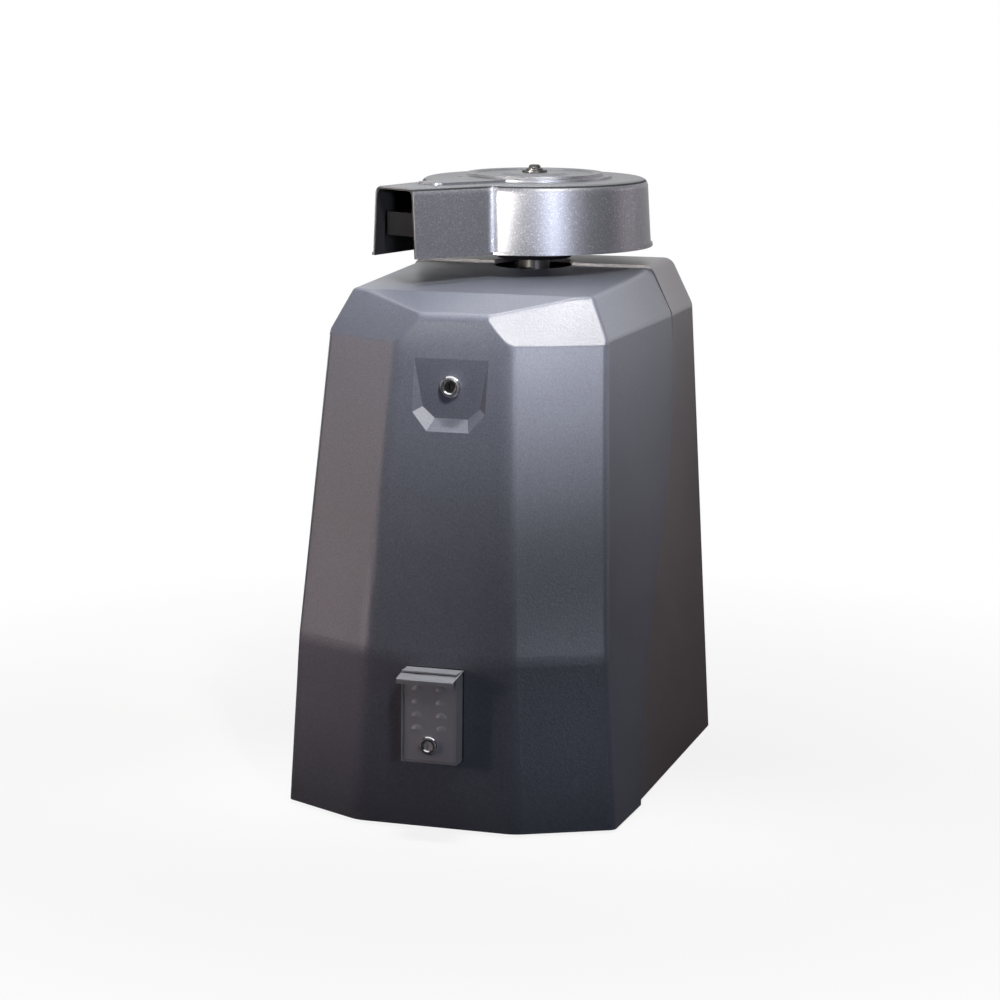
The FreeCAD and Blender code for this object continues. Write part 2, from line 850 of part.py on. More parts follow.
def recess_outline(grow):
    """The floor of the lock recess, seen from the front, grown by some margin."""
    right = [
        (size.recess_base_half_width + grow, size.recess_base_height - grow),
        (size.recess_side_half_width + grow, size.recess_side_height - grow),
        (size.recess_top_half_width + grow, size.recess_top_height + grow),
    ]
    left = [(-x, z) for x, z in reversed(right)]
    return right + left


def recess_form(name, grow):
    """The lock recess as a solid that flares forward from its upright floor."""
    floor = outline(f"{name}_floor", recess_outline(grow), (0, grow - size.recess_floor_reach, 0),
                    FACING_FRONT)
    return extrude(name, floor, size.cover_wall * 6, taper=size.recess_bevel)


def station_lean():
    """How far the skirt leans back, in degrees."""
    return angle_of(size.front_foot_reach - size.front_skirt_reach, size.skirt_height)


def on_skirt(solid):
    """Place something on the skirt: its own z runs up the face and its own -y points off it."""
    lean = station_lean()
    height = size.station_height_above_ground
    at = (0, height * tan(lean) - size.front_foot_reach, height)
    return place(solid, at, Rotation(Vector(1, 0, 0), -lean.value))


def window(name):
    """The round opening that the output shaft comes up through."""
    return cylinder(name, size.shaft_window_radius, size.crown_height,
                    (0, size.shaft_reach, size.crown_height / 2 + size.recess_top_height / 2))


def station_screw_points():
    for x in both(size.station_screw_half_x):
        for z in (size.station_screw_inset, size.station_tall - size.station_screw_inset):
            yield x, z


def station_drills(name, screw_radius):
    """Wire and screw holes that pass through the station's back, its gasket and the skirt."""
    tools = [cylinder(f"{name}_wire", size.wire_hole_radius, size.station_depth * 2,
                      (0, -size.station_depth, size.wire_hole_rise), ALONG_Y)]
    for number, (x, z) in enumerate(station_screw_points(), start=1):
        tools.append(cylinder(f"{name}_screw_{number}", screw_radius, size.station_depth * 2,
                              (x, -size.station_depth, z), ALONG_Y))
    return group(name, tools)


def make_covers():
    """The two moulded covers: faceted shells that meet at a curved seam."""
    form = front_cover_form("front_form", dim(0))
    brow = size.corner_brow_height.value
    crease = size.corner_angle.value + 1
    soft = softened("front_creased", form, [
        (size.front_crease_round.value, lambda at, turn: 5 < turn < crease and at.z < brow - 1),
    ])
    rounded = softened("front_rounded", soft, [
        (size.side_crease_round.value, lambda at, turn: 45 < turn < 75 and at.z < brow - 1),
        (size.facet_edge_round.value, lambda at, turn: 5 < turn < 75 and at.z > brow - 5 and at.y < 0),
    ])
    foot = size.ground_gap.value + 1
    edged = softened("front_edged", rounded, [
        (size.seam_edge_round.value, lambda at, turn: turn > 78 and at.z > foot),
    ])
    hollow = cut("front_room", front_cover_form("front_hollow", size.cover_wall),
                 [recess_form("recess_backing", size.cover_wall)])
    lock_hole = cylinder("cover_lock_hole", size.cover_lock_body_radius + size.running_gap,
                         size.front_foot_reach,
                         (0, -size.front_foot_reach, size.cover_lock_height), ALONG_Y)
    drills = on_skirt(station_drills("skirt_drills", size.station_screw_radius + size.running_gap))
    tools = [hollow, recess_form("recess", dim(0)), lock_hole, drills, window("front_window")]
    piece("front_cover", cut("front_cover_shell", edged, tools))

    form = rear_cover_form("rear_form", dim(0))
    back = size.seam_reach.value + size.lap_length.value
    rounded = softened("rear_rounded", form, [
        (size.rear_edge_round.value, lambda at, turn: 40 < turn < 100 and at.y > back and at.z > PAST),
    ])
    wall = size.cover_wall
    joined = fuse("rear_joined", [rounded, rear_tongue_form("rear_tongue", dim(0), wall)])
    tools = [rear_cover_form("rear_hollow", wall), rear_tongue_form("tongue_hollow", wall, 2 * wall)]
    tools += [window("rear_window"), *rear_screw_holes()]
    piece("rear_cover", cut("rear_cover_shell", joined, tools))


def rear_screw_points():
    """Where the rear cover's screws meet the outside of its back wall."""
    rise = size.rear_bracket_height / 2
    for x in both(size.rear_bracket_half_x):
        for z in (size.plate_thickness + rise, size.frame_top - rise):
            yield x, size.rear_foot_reach - z * tan(rear_lean()), z


def off_back_wall():
    """The turn that points a screw's own axis straight out of the back wall."""
    return Rotation(Vector(1, 0, 0), -90 + rear_lean().value)


def rear_screw_holes():
    radius = size.rear_screw_radius + size.running_gap
    length = size.rear_screw_length * 4
    holes = []
    for number, (x, y, z) in enumerate(rear_screw_points(), start=1):
        start = (x, y - length / 2 * cos(rear_lean()), z - length / 2 * sin(rear_lean()))
        holes.append(cylinder(f"rear_screw_hole_{number}", radius, length, start, off_back_wall()))
    return holes


def make_rear_fixings():
    """Angle brackets that hold the rear cover at its foot and its top, and their screws."""
    sheet_gap = size.slide_gap
    thick = size.rear_bracket_sheet
    width = size.rear_bracket_width
    low = size.plate_thickness
    high = size.frame_top
    rows = {
        "rear_foot_brackets": (low, low + size.rear_bracket_height, 1),
        "rear_top_brackets": (high + thick, high + thick - size.rear_bracket_height, -1),
    }
    for label, (root_z, tip_z, sense) in rows.items():
        inner_z = root_z + thick * sense
        profile = [
            (size.rear_bracket_foot, root_z),
            (rear_wall_inside(root_z) - sheet_gap, root_z),
            (rear_wall_inside(tip_z) - sheet_gap, tip_z),
            (rear_wall_inside(tip_z) - sheet_gap - thick, tip_z),
            (rear_wall_inside(inner_z) - sheet_gap - thick, inner_z),
            (size.rear_bracket_foot, inner_z),
        ]
        solids = []
        for x in both(size.rear_bracket_half_x):
            name = f"{label}_{len(solids) + 1}"
            sketch = outline(f"{name}_profile", profile, (x - width / 2, 0, 0), Rotation(Vector(1, 1, 1),
                                                                                         120))
            solids.append(cut(name, extrude(f"{name}_strip", sketch, width), rear_screw_holes()))
        piece(label, group(f"{label}_pair", solids))
    screws = []
    for number, at in enumerate(rear_screw_points(), start=1):
        screws.append(screw(f"rear_screw_{number}", size.rear_screw_radius, size.rear_screw_head,
                            size.rear_screw_head_height, size.rear_screw_length, at, off_back_wall()))
    piece("rear_cover_screws", group("rear_screws", screws))


def lock_profile(bezel, proud, body, plug, length):
    """The barrel of a cam lock: a stepped bezel in front of a threaded body, bored for its plug."""
    bore = plug + size.running_gap
    return [
        (bore, -length),
        (body, -length),
        (body, 0),
        (bezel, 0),
        (bezel, proud * 0.45),
        (bezel - proud * 0.18, proud * 0.62),
        (bezel - proud * 0.36, proud),
        (bore + proud * 0.2, proud),
        (bore, proud * 0.8),
    ]


def lock_plug(name, radius, front, back):
    """The turning plug of a lock, with a keyway in its face."""
    plug = turned(f"{name}_round", [(0, -back), (radius, -back), (radius, front), (0, front)])
    keyway = block(f"{name}_keyway", both(size.keyway_half_width), both(size.keyway_half_height),
                   (front - size.keyway_depth, front + 1))
    return cut(name, plug, [keyway])


def lock_cam(name, reach, half_width, bore):
    """The flat cam on the back of a lock, pointing along its own +x when unlocked."""
    corners = [
        (reach, -half_width, half_width / 2),
        (reach, half_width, half_width / 2),
        (-half_width - 1, half_width, half_width / 2),
        (-half_width - 1, -half_width, half_width / 2),
    ]
    return padded(name, corners, size.lock_cam_thickness, holes=[(0, 0, bore)])


def make_cover_lock():
    """The key lock in the recess, and the catch that its cam turns behind."""
    at = (0, -size.recess_floor_reach, size.cover_lock_height)
    proud = size.cover_lock_bezel_proud
    length = size.cover_lock_body_length
    plug = size.cover_lock_plug_radius
    body = size.cover_lock_body_radius
    profile = lock_profile(size.cover_lock_bezel_radius, proud, body, plug, length)
    piece("cover_lock_barrel", turned("cover_lock_barrel_body", profile, at, FACING_FRONT))
    nut = doc.addObject("Part::Prism", "cover_lock_nut_hex")
    nut.Polygon = 6
    bind(nut, Circumradius=size.lock_nut_radius, Height=size.lock_nut_thickness)
    bore = cylinder("cover_lock_nut_bore", body, size.lock_nut_thickness, (0, 0, 0))
    behind = (0, size.cover_wall + size.lock_nut_thickness - size.recess_floor_reach,
              size.cover_lock_height)
    piece("cover_lock_nut", place(cut("cover_lock_nut_ring", nut, [bore]), behind, FACING_FRONT))
    cam_front = length + size.catch_gap
    back = cam_front + size.lock_cam_thickness + 2
    piece("cover_lock_plug", place(lock_plug("cover_plug", plug, proud * 0.75, back), at, FACING_FRONT))
    cam = lock_cam("cover_cam", size.cover_lock_cam_reach, size.cover_lock_cam_half_width, plug)
    cam_at = (0, cam_front + size.lock_cam_thickness - size.recess_floor_reach, size.cover_lock_height)
    piece("cover_lock_cam", place(cam, cam_at, FACING_FRONT))

    lip_back = cam_front - size.catch_gap - size.recess_floor_reach
    lip_front = lip_back - size.catch_sheet
    under = size.frame_top - size.cross_sheet
    wide = both(size.catch_half_width)
    tongue = block("catch_tongue", wide, (lip_back, size.catch_back), (under - size.catch_sheet, under))
    lip = block("catch_lip", wide, (lip_front, lip_back), (under - size.catch_drop, under))
    holes = [cylinder(f"catch_hole_{number}", size.frame_bolt_radius, size.catch_drop * 2,
                      (x, size.catch_bolt_reach, under - size.catch_drop))
             for number, x in enumerate(both(size.catch_half_width / 2), start=1)]
    piece("cover_catch", group("catch_welded", [cut("catch_drilled", tongue, holes), lip]))


def louvre_dome(name, x, front, base, skin):
    """The upper half of a shallow dome on the louvred panel, moved in by the thickness of its skin."""
    proud = size.louvre_proud
    across = size.louvre_half_width
    radius = (across * across + proud * proud) / (2 * proud)
    ball = doc.addObject("Part::Sphere", f"{name}_ball")
    bind(ball, Radius=radius - skin)
    place(ball, (x, front - proud + radius, base - size.louvre_sink))
    reach = (front - proud, front + size.station_sheet)
    return common(name,
                  [ball, block(f"{name}_limits", (x - across, x + across), reach,
                               (base, base + 2 * across))])


def make_station():
    """The small hooded steel box on the skirt, with a louvred panel that tilts out from its foot."""
    sheet_t = size.station_sheet
    half = size.station_half_width
    tall = size.station_tall
    depth = size.station_depth
    seat = size.station_gasket_thickness
    lip = size.station_gasket_lip
    gasket = block("gasket_sheet", both(half + lip), (-seat, 0), (-lip, tall + lip))
    piece("station_gasket", on_skirt(cut("gasket_cut", gasket, [
        station_drills("gasket_drills", size.station_screw_radius + size.running_gap)])))

    shell = cut("station_shell", block("station_block", both(half), (-depth, -seat), (0, tall)), [
        block("station_room", both(half - sheet_t), (-2 * depth, -seat - sheet_t),
              (sheet_t, tall - sheet_t))])
    fall = size.hood_fall
    reach = size.hood_reach
    hood = [
        (-seat, tall - sheet_t),
        (-seat, tall),
        (-reach + sheet_t, tall - fall),
        (-reach, tall - fall - sheet_t),
        (-reach, tall - fall - size.hood_lip),
        (-reach + sheet_t, tall - fall - size.hood_lip),
        (-reach + sheet_t, tall - fall - sheet_t),
    ]
    hood_half = half + size.hood_overhang
    hood_sketch = outline("hood_profile", hood, (-hood_half, 0, 0), Rotation(Vector(1, 1, 1), 120))
    hood_solid = extrude("hood", hood_sketch, 2 * hood_half)
    cam_front = -seat - sheet_t - 1 - size.lock_cam_thickness
    catch = block("station_catch", both(half - sheet_t),
                  (cam_front - size.catch_gap - sheet_t, cam_front - size.catch_gap),
                  (sheet_t, sheet_t + size.station_catch_height))
    panel_back = -depth + size.panel_setback + sheet_t
    panel_front = -depth + size.panel_setback
    foot = sheet_t + size.panel_foot_gap
    head = tall - sheet_t - size.panel_top_gap
    panel_half = half - sheet_t - size.panel_side_gap
    pivot = (panel_front + sheet_t / 2, head - sheet_t / 2)
    drills = station_drills("station_drills", size.station_screw_radius + size.running_gap)
    pin_holes = cylinder("panel_pin_holes", size.panel_pin_radius + size.running_gap, 2 * half + 2,
                         (-half - 1, *pivot), ALONG_X)
    folded = fuse("station_folded", [shell, hood_solid, catch])
    piece("station_box", on_skirt(cut("station_box_drilled", folded, [drills, pin_holes])))

    plate = block("panel_plate", both(panel_half), (panel_front, panel_back), (foot, head))
    bead = cylinder("panel_bead", size.panel_bead_radius, 2 * panel_half, (-panel_half, *pivot), ALONG_X)
    pins = cylinder("panel_pins", size.panel_pin_radius, 2 * half, (-half, *pivot), ALONG_X)
    domes = []
    scoops = []
    for row in range(4):
        base = size.louvre_first_row + row * size.louvre_row_pitch - size.louvre_height / 2
        for column, x in enumerate(both(size.louvre_half_pitch)):
            name = f"louvre_{row}_{column}"
            domes.append(louvre_dome(name, x, panel_front, base, dim(0)))
            scoops.append(louvre_dome(f"{name}_scoop", x, panel_front, base, size.louvre_skin))
    lock_hole = cylinder("station_lock_hole", size.station_lock_body_radius + size.running_gap, 2 * depth,
                         (0, -2 * depth, size.station_lock_rise), ALONG_Y)
    raised = fuse("panel_raised", [plate, *domes])
    open_panel = cut("panel_open", raised, [*scoops, lock_hole])
    piece("station_panel", on_skirt(fuse("panel_hung", [open_panel, bead, pins])))

    body_length = panel_front - cam_front
    proud = size.station_lock_bezel_proud
    plug = size.station_lock_plug_radius
    barrel_length = -body_length - size.catch_gap
    profile = lock_profile(size.station_lock_bezel_radius, proud, size.station_lock_body_radius, plug,
                           barrel_length)
    lock_at = (0, panel_front, size.station_lock_rise)
    barrel = place(turned("station_barrel_body", profile), lock_at, FACING_FRONT)
    piece("station_lock_barrel", on_skirt(group("station_barrel_place", [barrel])))
    back = -body_length + size.lock_cam_thickness
    plug_solid = place(lock_plug("station_plug", plug, proud * 0.75, back), lock_at, FACING_FRONT)
    piece("station_lock_plug", on_skirt(group("station_plug_place", [plug_solid])))
    cam = lock_cam("station_cam", size.station_lock_cam_reach, size.station_lock_cam_half_width, plug)
    place(cam, (0, cam_front + size.lock_cam_thickness, size.station_lock_rise), FACING_FRONT)
    piece("station_lock_cam", on_skirt(group("station_cam_place", [cam])))

    screws = []
    for number, (x, z) in enumerate(station_screw_points(), start=1):
        screws.append(screw(f"station_screw_{number}", size.station_screw_radius, size.station_screw_head,
                            sheet_t,
                            size.cover_wall + seat + sheet_t + 2, (x, -seat - sheet_t, z), FACING_FRONT))
    piece("station_screws", on_skirt(group("station_screw_set", screws)))
    rim = size.sounder_radius
    thick = size.sounder_thickness
    disc = turned("sounder_body", [(0, 0), (rim, 0), (rim, thick * 0.7), (rim * 0.8, thick),
                                   (rim * 0.3, thick),
                                   (rim * 0.3, thick * 0.8), (0, thick * 0.8)],
                  (0, -seat - sheet_t, size.sounder_rise), FACING_FRONT)
    piece("alarm_sounder", on_skirt(group("sounder_place", [disc])))


def arm_turn():
    """The arm's own +x runs along the crank, which heads forward and to the left at rest."""
    return Rotation(Vector(0, 0, 1), -90 - size.arm_heading.value)


def on_arm(solid, height=0):
    return place(solid, (0, size.shaft_reach, height), arm_turn())


def arm_cover_form(name, inset, height, top_round, reach):
    """A keyhole plan drawn up to a height with draft: a round hub and a channel that narrows outward."""
    draft_in = height * tan(size.arm_cover_draft)
    hub = doc.addObject("Part::Cone", f"{name}_hub")
    hub_radius = size.arm_hub_cover_radius - inset
    bind(hub, Radius1=hub_radius, Radius2=hub_radius - draft_in, Height=height)
    past_end = reach - size.arm_channel_reach
    end_half = size.arm_channel_half_width - inset - past_end * tan(size.arm_channel_spread)
    root_half = end_half + reach * tan(size.arm_channel_spread)
    plan = [(dim(0), -root_half), (reach, -end_half), (reach, end_half), (dim(0), root_half)]
    channel = extrude(f"{name}_channel", outline(f"{name}_plan", plan), height, taper=-size.arm_cover_draft)
    whole = fuse(f"{name}_keyhole", [hub, channel])
    if top_round is None:
        return whole
    throat = size.arm_hub_cover_radius.value * 0.6
    tall = height.value
    limit = reach.value - 3 * PAST / 4
    joined = softened(f"{name}_throat", whole, [
        (size.arm_throat_round.value, lambda at,
         turn: throat < at.x < limit and turn > 10 and 1 < at.z < tall - 1),
    ])
    return softened(name, joined, [
        (top_round.value, lambda at, turn: at.z > tall - 0.5 and turn > 45 and at.x < limit + PAST / 4),
    ])


def make_arm():
    """The hammered moulded cover over the hub and crank, with what it hides."""
    height = size.arm_cover_height
    wall = size.arm_cover_wall
    rim = size.arm_rim_height
    top = height + size.arm_panel_rise
    crown = top + size.arm_disc_rise
    cut_end = size.arm_channel_reach
    long_reach = cut_end + 40
    skin = arm_cover_form("arm_skin", dim(0), height, size.arm_cover_round, long_reach)
    room = arm_cover_form("arm_room", wall, height - wall, size.arm_cover_round - wall, long_reach + PAST)
    lip = arm_cover_form("arm_lip_band", -size.arm_lip, size.arm_lip_height, None, long_reach)
    disc = turned("arm_disc", [
        (0, height - wall), (size.arm_panel_radius, height - wall), (size.arm_panel_radius - 1, top),
        (size.arm_disc_radius + 1, top), (size.arm_disc_radius, crown), (size.arm_dish_radius, crown),
        (size.arm_dish_radius - 4, crown - size.arm_dish_depth),
        (size.arm_boss_radius + 6, crown - size.arm_dish_depth),
        (size.arm_boss_radius, crown), (0, crown)])
    panel_root = size.arm_panel_half_width + size.arm_panel_reach * tan(size.arm_panel_spread)
    panel = extrude("arm_panel", outline("arm_panel_plan", [
        (dim(0), -panel_root),
        (size.arm_panel_reach, -size.arm_panel_half_width, size.arm_panel_half_width / 2),
        (size.arm_panel_reach, size.arm_panel_half_width, size.arm_panel_half_width / 2),
        (dim(0), panel_root)], (0, 0, height - wall)), wall + size.arm_panel_rise)
    seat = cylinder("arm_seat", size.arm_seat_radius,
                    crown - (size.shaft_end_height - rim) - size.arm_dish_depth,
                    (0, 0, size.shaft_end_height - rim))
    shell = cut("arm_shell", fuse("arm_outside", [skin, lip]), [room])
    bolt_hole = cylinder("arm_bolt_hole", size.arm_bolt_radius, height * 2, (0, 0, 0))
    beyond = block("arm_beyond", (cut_end, cut_end + long_reach), both(cut_end), (-PAST, 2 * height))
    whole = fuse("arm_whole", [shell, disc, panel, seat])
    piece("arm_cover", on_arm(cut("arm_cover_cut", whole, [bolt_hole, beyond]), rim))

    head = size.arm_washer_thickness
    piece("arm_cover_washer", ring("arm_washer", size.arm_bolt_radius, size.arm_washer_radius, head,
                                   (0, size.shaft_reach, rim + crown)))
    flange = size.arm_bolt_flange_radius
    dome = size.arm_bolt_head_radius
    tall = size.arm_bolt_head_height
    piece("arm_cover_bolt", turned("arm_bolt", [
        (0, -size.arm_bolt_length), (size.arm_bolt_radius, -size.arm_bolt_length), (size.arm_bolt_radius,
                                                                                    0),
        (flange, 0), (flange, tall * 0.25), (dome, tall * 0.45), (dome, tall, dome * 0.45), (0, tall)],
        (0, size.shaft_reach, rim + crown + head)))

    hub_base = rim + size.hub_lift
    key = key_block("hub_key", size.hub_seat_radius, hub_base + size.key_length / 4)
    seat_radius = size.hub_seat_radius
    skirt_bore = size.shaft_radius + 2 * size.running_gap
    skirt = size.hub_skirt
    hub = turned("hub_blank", [
        (seat_radius, 0), (skirt_bore, 0), (skirt_bore, -skirt), (size.hub_radius - 4, -skirt),
        (size.hub_radius, 4 - skirt), (size.hub_radius, size.hub_height - 4),
        (size.hub_radius - 4, size.hub_height), (seat_radius, size.hub_height)], (0, size.shaft_reach,
                                                                                  hub_base))
    piece("arm_hub", cut("arm_hub_keyed", hub, [key]))
    start = size.hub_radius - size.key_height
    low = size.crank_lift
    bar = padded("crank_bar", [
        (start, -size.crank_width / 2), (size.crank_reach, -size.crank_width / 2, size.crank_width / 8),
        (size.crank_reach, size.crank_width / 2, size.crank_width / 8), (start, size.crank_width / 2)],
        size.crank_height, holes=[(reach, 0, size.crank_bolt_radius) for reach in crank_bolt_points()])
    saddle = cylinder("crank_saddle", size.hub_radius, size.crank_height, (0, 0, 0))
    piece("crank_stub", on_arm(cut("crank_fitted", bar, [saddle]), rim + low))


def crank_bolt_points():
    return size.crank_bolt_first, size.crank_bolt_first + size.crank_bolt_spacing


def key_block(name, seat_radius, height):
    """A parallel key half sunk in the shaft, on its right side."""
    middle = seat_radius
    return block(name, (middle - size.key_height / 2, middle + size.key_height / 2),
                 (size.shaft_reach - size.key_width / 2, size.shaft_reach + size.key_width / 2),
                 (height, height + size.key_length))


def wheel_key_height():
    return size.wheel_height - size.key_length / 2


def make_shaft():
    """The upright output shaft and its keys."""
    foot = size.shelf_top + 5
    shoulder = size.arm_rim_height + size.hub_lift
    end = size.shaft_end_height
    blank = turned("shaft_blank", [
        (0, foot), (size.shaft_radius, foot), (size.shaft_radius, shoulder), (size.hub_seat_radius,
                                                                              shoulder),
        (size.hub_seat_radius, end), (size.arm_bolt_radius, end), (size.arm_bolt_radius,
                                                                   end - size.arm_bolt_length),
        (0, end - size.arm_bolt_length)], (0, size.shaft_reach, 0))
    hub_key_at = shoulder + size.key_length / 4
    slots = [key_block("shaft_slot_low", size.shaft_radius, wheel_key_height()),
             key_block("shaft_slot_high", size.hub_seat_radius, hub_key_at)]
    piece("output_shaft", cut("shaft_keyed", blank, slots))
    piece("shaft_keys", group("keys", [
        key_block("wheel_key", size.shaft_radius, wheel_key_height()),
        key_block("hub_key_bar", size.hub_seat_radius, hub_key_at)]))


def tooth_half(depth):
    """Half the thickness of a tooth or thread at a depth below its tip."""
    at_pitch = size.tooth_module * math.pi / 4 - size.mesh_backlash / 4
    return at_pitch + (depth - size.tooth_module) * tan(size.pressure_angle)


def wheel_pitch_radius():
    return size.tooth_module * size.wheel_teeth / 2


def worm_reach():
    """How far in front of the origin the worm's axis lies, along y."""
    return size.shaft_reach - wheel_pitch_radius() - size.worm_pitch_radius


def make_worm_set():
    """A worm and its wheel, with teeth that follow the worm's lead."""
    module = size.tooth_module
    pitch_radius = wheel_pitch_radius()
    half_face = size.wheel_width / 2
    root_radius = pitch_radius - 1.25 * module
    tip_radius = pitch_radius + module
    bearing_gap = size.slide_gap
    low = size.shelf_top + size.case_floor + bearing_gap - size.wheel_height
    high = size.case_top - size.shaft_bearing_width - bearing_gap - size.wheel_height
    wheel = doc.addObject("PartDesign::Body", "wheel_body")
    blank = body_sketch(wheel, "wheel_profile", "XZ_Plane")
    web = half_face / 2
    draw(blank, [
        (size.shaft_radius, low), (size.wheel_hub_radius, low), (size.wheel_hub_radius, -web),
        (root_radius - 2 * module, -web), (root_radius - 2 * module, -half_face), (root_radius, -half_face),
        (root_radius, half_face), (root_radius - 2 * module, half_face), (root_radius - 2 * module, web),
        (size.wheel_hub_radius, web), (size.wheel_hub_radius, high), (size.shaft_radius, high)])
    spun = wheel.newObject("PartDesign::Revolution", "wheel_blank")
    spun.Profile = blank
    spun.ReferenceAxis = (blank, ["V_Axis"])
    spun.Angle = 360
    sunk = 0.5 * module
    twist = lead_angle_shift(half_face, pitch_radius)
    ends = []
    for end, sign in (("low", -1), ("high", 1)):
        tooth = body_sketch(wheel, f"tooth_{end}", "XY_Plane", half_face * sign)
        tooth.AttachmentOffset = Placement(tooth.AttachmentOffset.Base, Rotation(Vector(0, 0, 1),
                                                                                 sign * twist))
        depth = tip_radius - root_radius
        draw(tooth, [
            (root_radius - sunk, -tooth_half(depth + sunk)), (tip_radius, -tooth_half(dim(0))),
            (tip_radius, tooth_half(dim(0))), (root_radius - sunk, tooth_half(depth + sunk))])
        ends.append(tooth)
    loft = wheel.newObject("PartDesign::AdditiveLoft", "tooth")
    loft.Profile = ends[0]
    loft.Sections = [ends[1]]
    loft.Ruled = True
    doc.recompute()
    around = wheel.newObject("PartDesign::PolarPattern", "teeth")
    around.Originals = [loft]
    around.Axis = (blank, ["V_Axis"])
    around.Angle = 360
    bind(around, Occurrences=size.wheel_teeth)
    wheel.Tip = around
    place(wheel, (0, size.shaft_reach, size.wheel_height), Rotation(Vector(0, 0, 1), -90))
    piece("worm_wheel", cut("wheel_keyed", wheel, [
        key_block("wheel_slot", size.shaft_radius, wheel_key_height())]))

    tip = size.worm_pitch_radius + module
    root_r = size.worm_pitch_radius - 1.25 * module
    neck = size.worm_neck_radius
    core = size.worm_core_half_length
    worm = doc.addObject("PartDesign::Body", "worm_body")
    profile = body_sketch(worm, "worm_profile", "XZ_Plane")
    left = -size.worm_tube_half_length + 2
    right = size.belt_plane + size.pulley_width / 2 + 2
    draw(profile, [(0, left), (neck, left), (neck, -core - 4), (root_r, -core), (root_r, core),
                   (neck, core + 4),
                   (neck, right), (0, right)])
    spun = worm.newObject("PartDesign::Revolution", "worm_core")
    spun.Profile = profile
    spun.ReferenceAxis = (profile, ["V_Axis"])
    spun.Angle = 360
    thread = body_sketch(worm, "thread_profile", "XZ_Plane")
    start = -size.worm_thread_length / 2
    deep = tip - root_r
    draw(thread, [(root_r - sunk, start - tooth_half(deep + sunk)), (tip, start - tooth_half(dim(0))),
                  (tip, start + tooth_half(dim(0))), (root_r - sunk, start + tooth_half(deep + sunk))])
    helix = worm.newObject("PartDesign::AdditiveHelix", "thread")
    helix.Profile = thread
    helix.ReferenceAxis = (thread, ["V_Axis"])
    helix.Mode = "pitch-height-angle"
    bind(helix, Pitch=module * math.pi, Height=size.worm_thread_length)
    worm.Tip = helix
    phase = Rotation(Vector(1, 0, 0), size.worm_phase.value)
    piece("worm_shaft", place(worm, (0, worm_reach(), size.wheel_height), phase.multiply(ALONG_X)))


def lead_angle_shift(half_face, pitch_radius):
    """By how many degrees a wheel tooth turns between the middle and the end of its face."""
    lead = size.tooth_module.value * math.pi
    slope = lead / (2 * math.pi * size.worm_pitch_radius.value)
    return math.degrees(half_face.value * slope / pitch_radius.value)


def case_bolt_points():
    for x in both(size.case_bolt_half_x):
        for y in (size.case_flange_front + size.case_bolt_inset,
                  size.case_flange_back - size.case_bolt_inset):
            yield x, y


def lid_bolt_points():
    for number in range(6):
        angle = 30 + 60 * number
        yield (size.lid_bolt_circle * math.cos(math.radians(angle)),
               size.shaft_reach + size.lid_bolt_circle * math.sin(math.radians(angle)))


